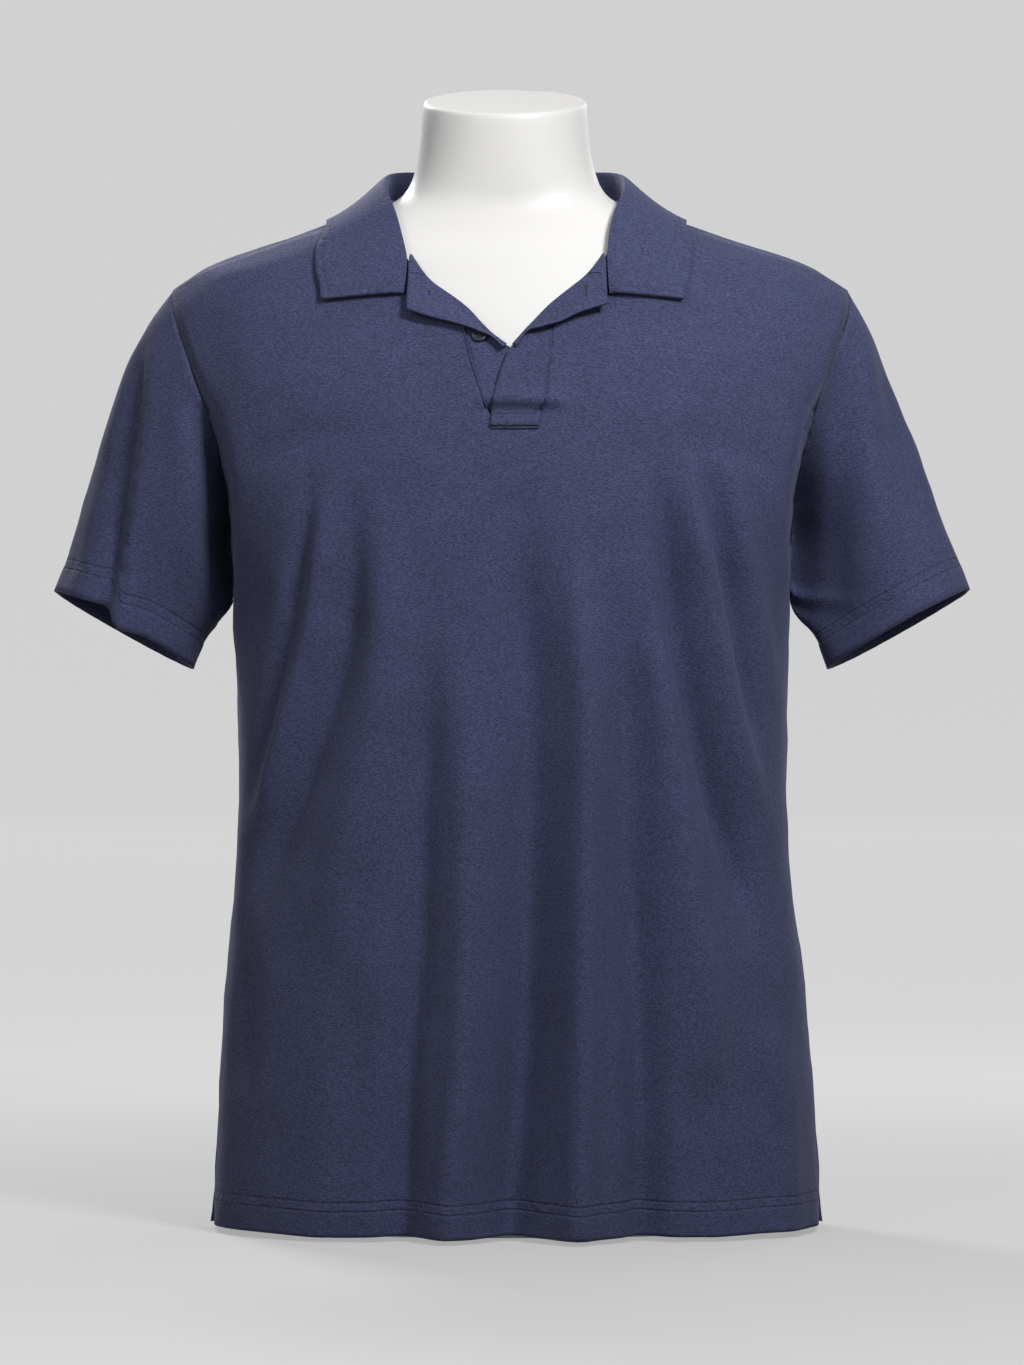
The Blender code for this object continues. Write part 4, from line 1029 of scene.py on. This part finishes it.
def pose_of(node):
    """A flat node's middle, its axis towards the camera's side, radius and half thickness."""
    spots = np.array([v.co for v in bpy.data.objects[node].data.vertices])
    low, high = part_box(node)
    middle = Vector((low + high) / 2)
    _, ways = np.linalg.eigh(np.cov((spots - spots.mean(0)).T))
    axis = Vector(ways[:, 0])
    if axis.y > 0:
        axis = -axis
    radius = max((Vector(s) - middle).cross(axis).length for s in spots)
    thick = max((Vector(s) - middle).dot(axis) for s in spots)
    return middle, axis.normalized(), radius, thick


def upright(axis):
    side = axis.cross(Vector((0, 0, 1))).normalized()
    return side, side.cross(axis).normalized()


def sewn_button(node):
    middle, axis, radius, half = pose_of(node)
    turn = axis.to_track_quat("Z", "Y").to_matrix().to_4x4()
    mesh = bmesh.new()
    verts = [mesh.verts.new((radius * r, 0, half * h)) for r, h in PROFILE]
    edges = [mesh.edges.new(pair) for pair in zip(verts, verts[1:])]
    bmesh.ops.spin(
        mesh, geom=verts + edges, cent=(0, 0, 0), axis=(0, 0, 1), angle=math.tau, steps=48,
        use_merge=True,
    )
    bmesh.ops.remove_doubles(mesh, verts=mesh.verts, dist=DOUBLES)
    bmesh.ops.recalc_face_normals(mesh, faces=mesh.faces)
    name = node + "_turned"
    made = placed(name, mesh_data(name, mesh))
    rods = bmesh.new()
    for corner in range(4):
        way = math.radians(45 + 90 * corner)
        rod = bmesh.ops.create_cone(
            rods, cap_ends=True, segments=16, radius1=HOLE_RADIUS * MM,
            radius2=HOLE_RADIUS * MM, depth=0.02,
        )
        shift = Vector((math.cos(way), math.sin(way), 0)) * HOLE_OFFSET * MM
        bmesh.ops.translate(rods, verts=rod["verts"], vec=shift)
    cutter = placed("rods", mesh_data("rods", rods))
    holes = made.modifiers.new("holes", "BOOLEAN")
    holes.object, holes.operation, holes.solver = cutter, "DIFFERENCE", "EXACT"
    made.data = evaluated(made)
    made.modifiers.clear()
    bpy.data.objects.remove(cutter)
    made.data.transform(turn)
    for vert in made.data.vertices:
        vert.co += middle
    made.data.materials.clear()
    made.data.materials.append(PLASTIC)
    smooth_faces(made.data)
    made.data.set_sharp_from_angle(angle=math.radians(35))
    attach(made, "root")
    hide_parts(node)
    crossed_threads(node, middle, axis, half)
    print(name, "is", round(radius * 2000, 1), "mm wide, at", [round(v, 4) for v in middle])


def crossed_threads(node, middle, axis, half):
    side, up = upright(axis)
    mesh = bmesh.new()
    for shift in THREAD_LINES:
        for strand in STRANDS:
            ball = bmesh.ops.create_uvsphere(mesh, u_segments=8, v_segments=8, radius=1.0)
            for vert in ball["verts"]:
                at = vert.co.copy()
                vert.co = (
                    middle
                    + side * at.x * STRAND[0] * MM
                    + up * (shift + strand + at.y * STRAND[1]) * MM
                    + axis * (half * DISH + (at.z * STRAND[2] - ARCH * at.x * at.x) * MM)
                )
    data = mesh_data(node + "_threads", mesh)
    data.materials.append(THREAD)
    threads = placed(node + "_threads", data)
    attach(threads, "root")


for node in ("button_under_placket", "button_turned_corner"):
    sewn_button(node)

# %% [markdown]
# ## Room and light
# A pale round sweep stands for floor and wall in one, so no edge shows behind the shirt from
# any side. It glows a little by itself, and does not light the cloth: that is left to the
# room's even light and five soft lights. The key stands in front, above and to the picture's
# right, with a fill at its left, one light hangs overhead, and two stand behind.


# %% Sweep and lights
SWEEP_RADIUS, SWEEP_CORNER, SWEEP_HEIGHT = 11.0, 1.5, 4.0
ROOM_LIGHT = 0.115


def sweep():
    mesh = bmesh.new()
    outline = [(0.0, 0.0), (1.0, 0.0), (3.0, 0.0), (SWEEP_RADIUS, 0.0)]
    for step in range(1, 13):
        way = math.radians(90 * step / 12)
        outline.append(
            (SWEEP_RADIUS + SWEEP_CORNER * math.sin(way), SWEEP_CORNER * (1 - math.cos(way)))
        )
    outline.append((SWEEP_RADIUS + SWEEP_CORNER, SWEEP_HEIGHT))
    verts = [mesh.verts.new((x, 0, z)) for x, z in outline]
    edges = [mesh.edges.new(pair) for pair in zip(verts, verts[1:])]
    bmesh.ops.spin(
        mesh, geom=verts + edges, cent=(0, 0, 0), axis=(0, 0, 1), angle=math.tau, steps=96,
        use_merge=True,
    )
    bmesh.ops.remove_doubles(mesh, verts=mesh.verts, dist=0.1 * MM)
    bmesh.ops.recalc_face_normals(mesh, faces=mesh.faces)
    data = mesh_data("sweep", mesh)
    smooth_faces(data)
    made = placed("sweep", data)
    made.visible_diffuse = False
    paint = Paint("pale_paper", Roughness=0.9, Emission_Strength=1.0)
    place = paint.add("ShaderNodeTexCoord", out="Object")
    tone = paint.noise(place, 0.8, 1.0)
    colour = paint.between(tone, (0.22, 0.22, 0.222, 1), (0.24, 0.24, 0.242, 1))
    away = paint.add("ShaderNodeVectorMath", {"operation": "LENGTH"}, {0: place}, out="Value")
    far = paint.spread(away, 0.3, 1.9)
    lit = paint.between(far, (0.37, 0.37, 0.372, 1), (0.60, 0.60, 0.602, 1))
    paint.wear(Base_Color=colour, Emission_Color=lit)
    data.materials.append(paint.material)


def soft_light(name, place, target, size, power, spread=180):
    lamp = bpy.data.lights.new(name, "AREA")
    lamp.shape, lamp.size, lamp.size_y = "RECTANGLE", size[0], size[1]
    lamp.energy, lamp.spread = power, math.radians(spread)
    made = placed(name, lamp)
    made.location = place
    made.rotation_euler = (Vector(target) - Vector(place)).to_track_quat("-Z", "Y").to_euler()
    made.visible_camera = False


sweep()
soft_light("key", (0.74, -1.38, 1.60), (0, 0, 0.48), (0.45, 0.45), 10.7, spread=110)
soft_light("left_fill", (-0.8, -1.6, 1.2), (0, 0, 0.50), (0.7, 0.7), 6.7)
soft_light("top", (0.0, 0.1, 2.3), (0, 0, 0.6), (1.0, 0.8), 5.4)
soft_light("back_key", (-0.8, 1.45, 1.6), (0, 0, 0.58), (0.5, 0.5), 9.5, spread=110)
soft_light("back_fill", (0.9, 1.6, 1.4), (0, 0, 0.55), (0.7, 0.7), 5.5)
world = bpy.data.worlds.new("room")
world.use_nodes = True
world.node_tree.nodes["Background"].inputs["Color"].default_value = (1, 1, 1, 1)
world.node_tree.nodes["Background"].inputs["Strength"].default_value = ROOM_LIGHT
bpy.context.scene.world = world
bpy.context.scene.view_settings.view_transform = "Standard"
print("five lights and a sweep", SWEEP_RADIUS, "m in radius")
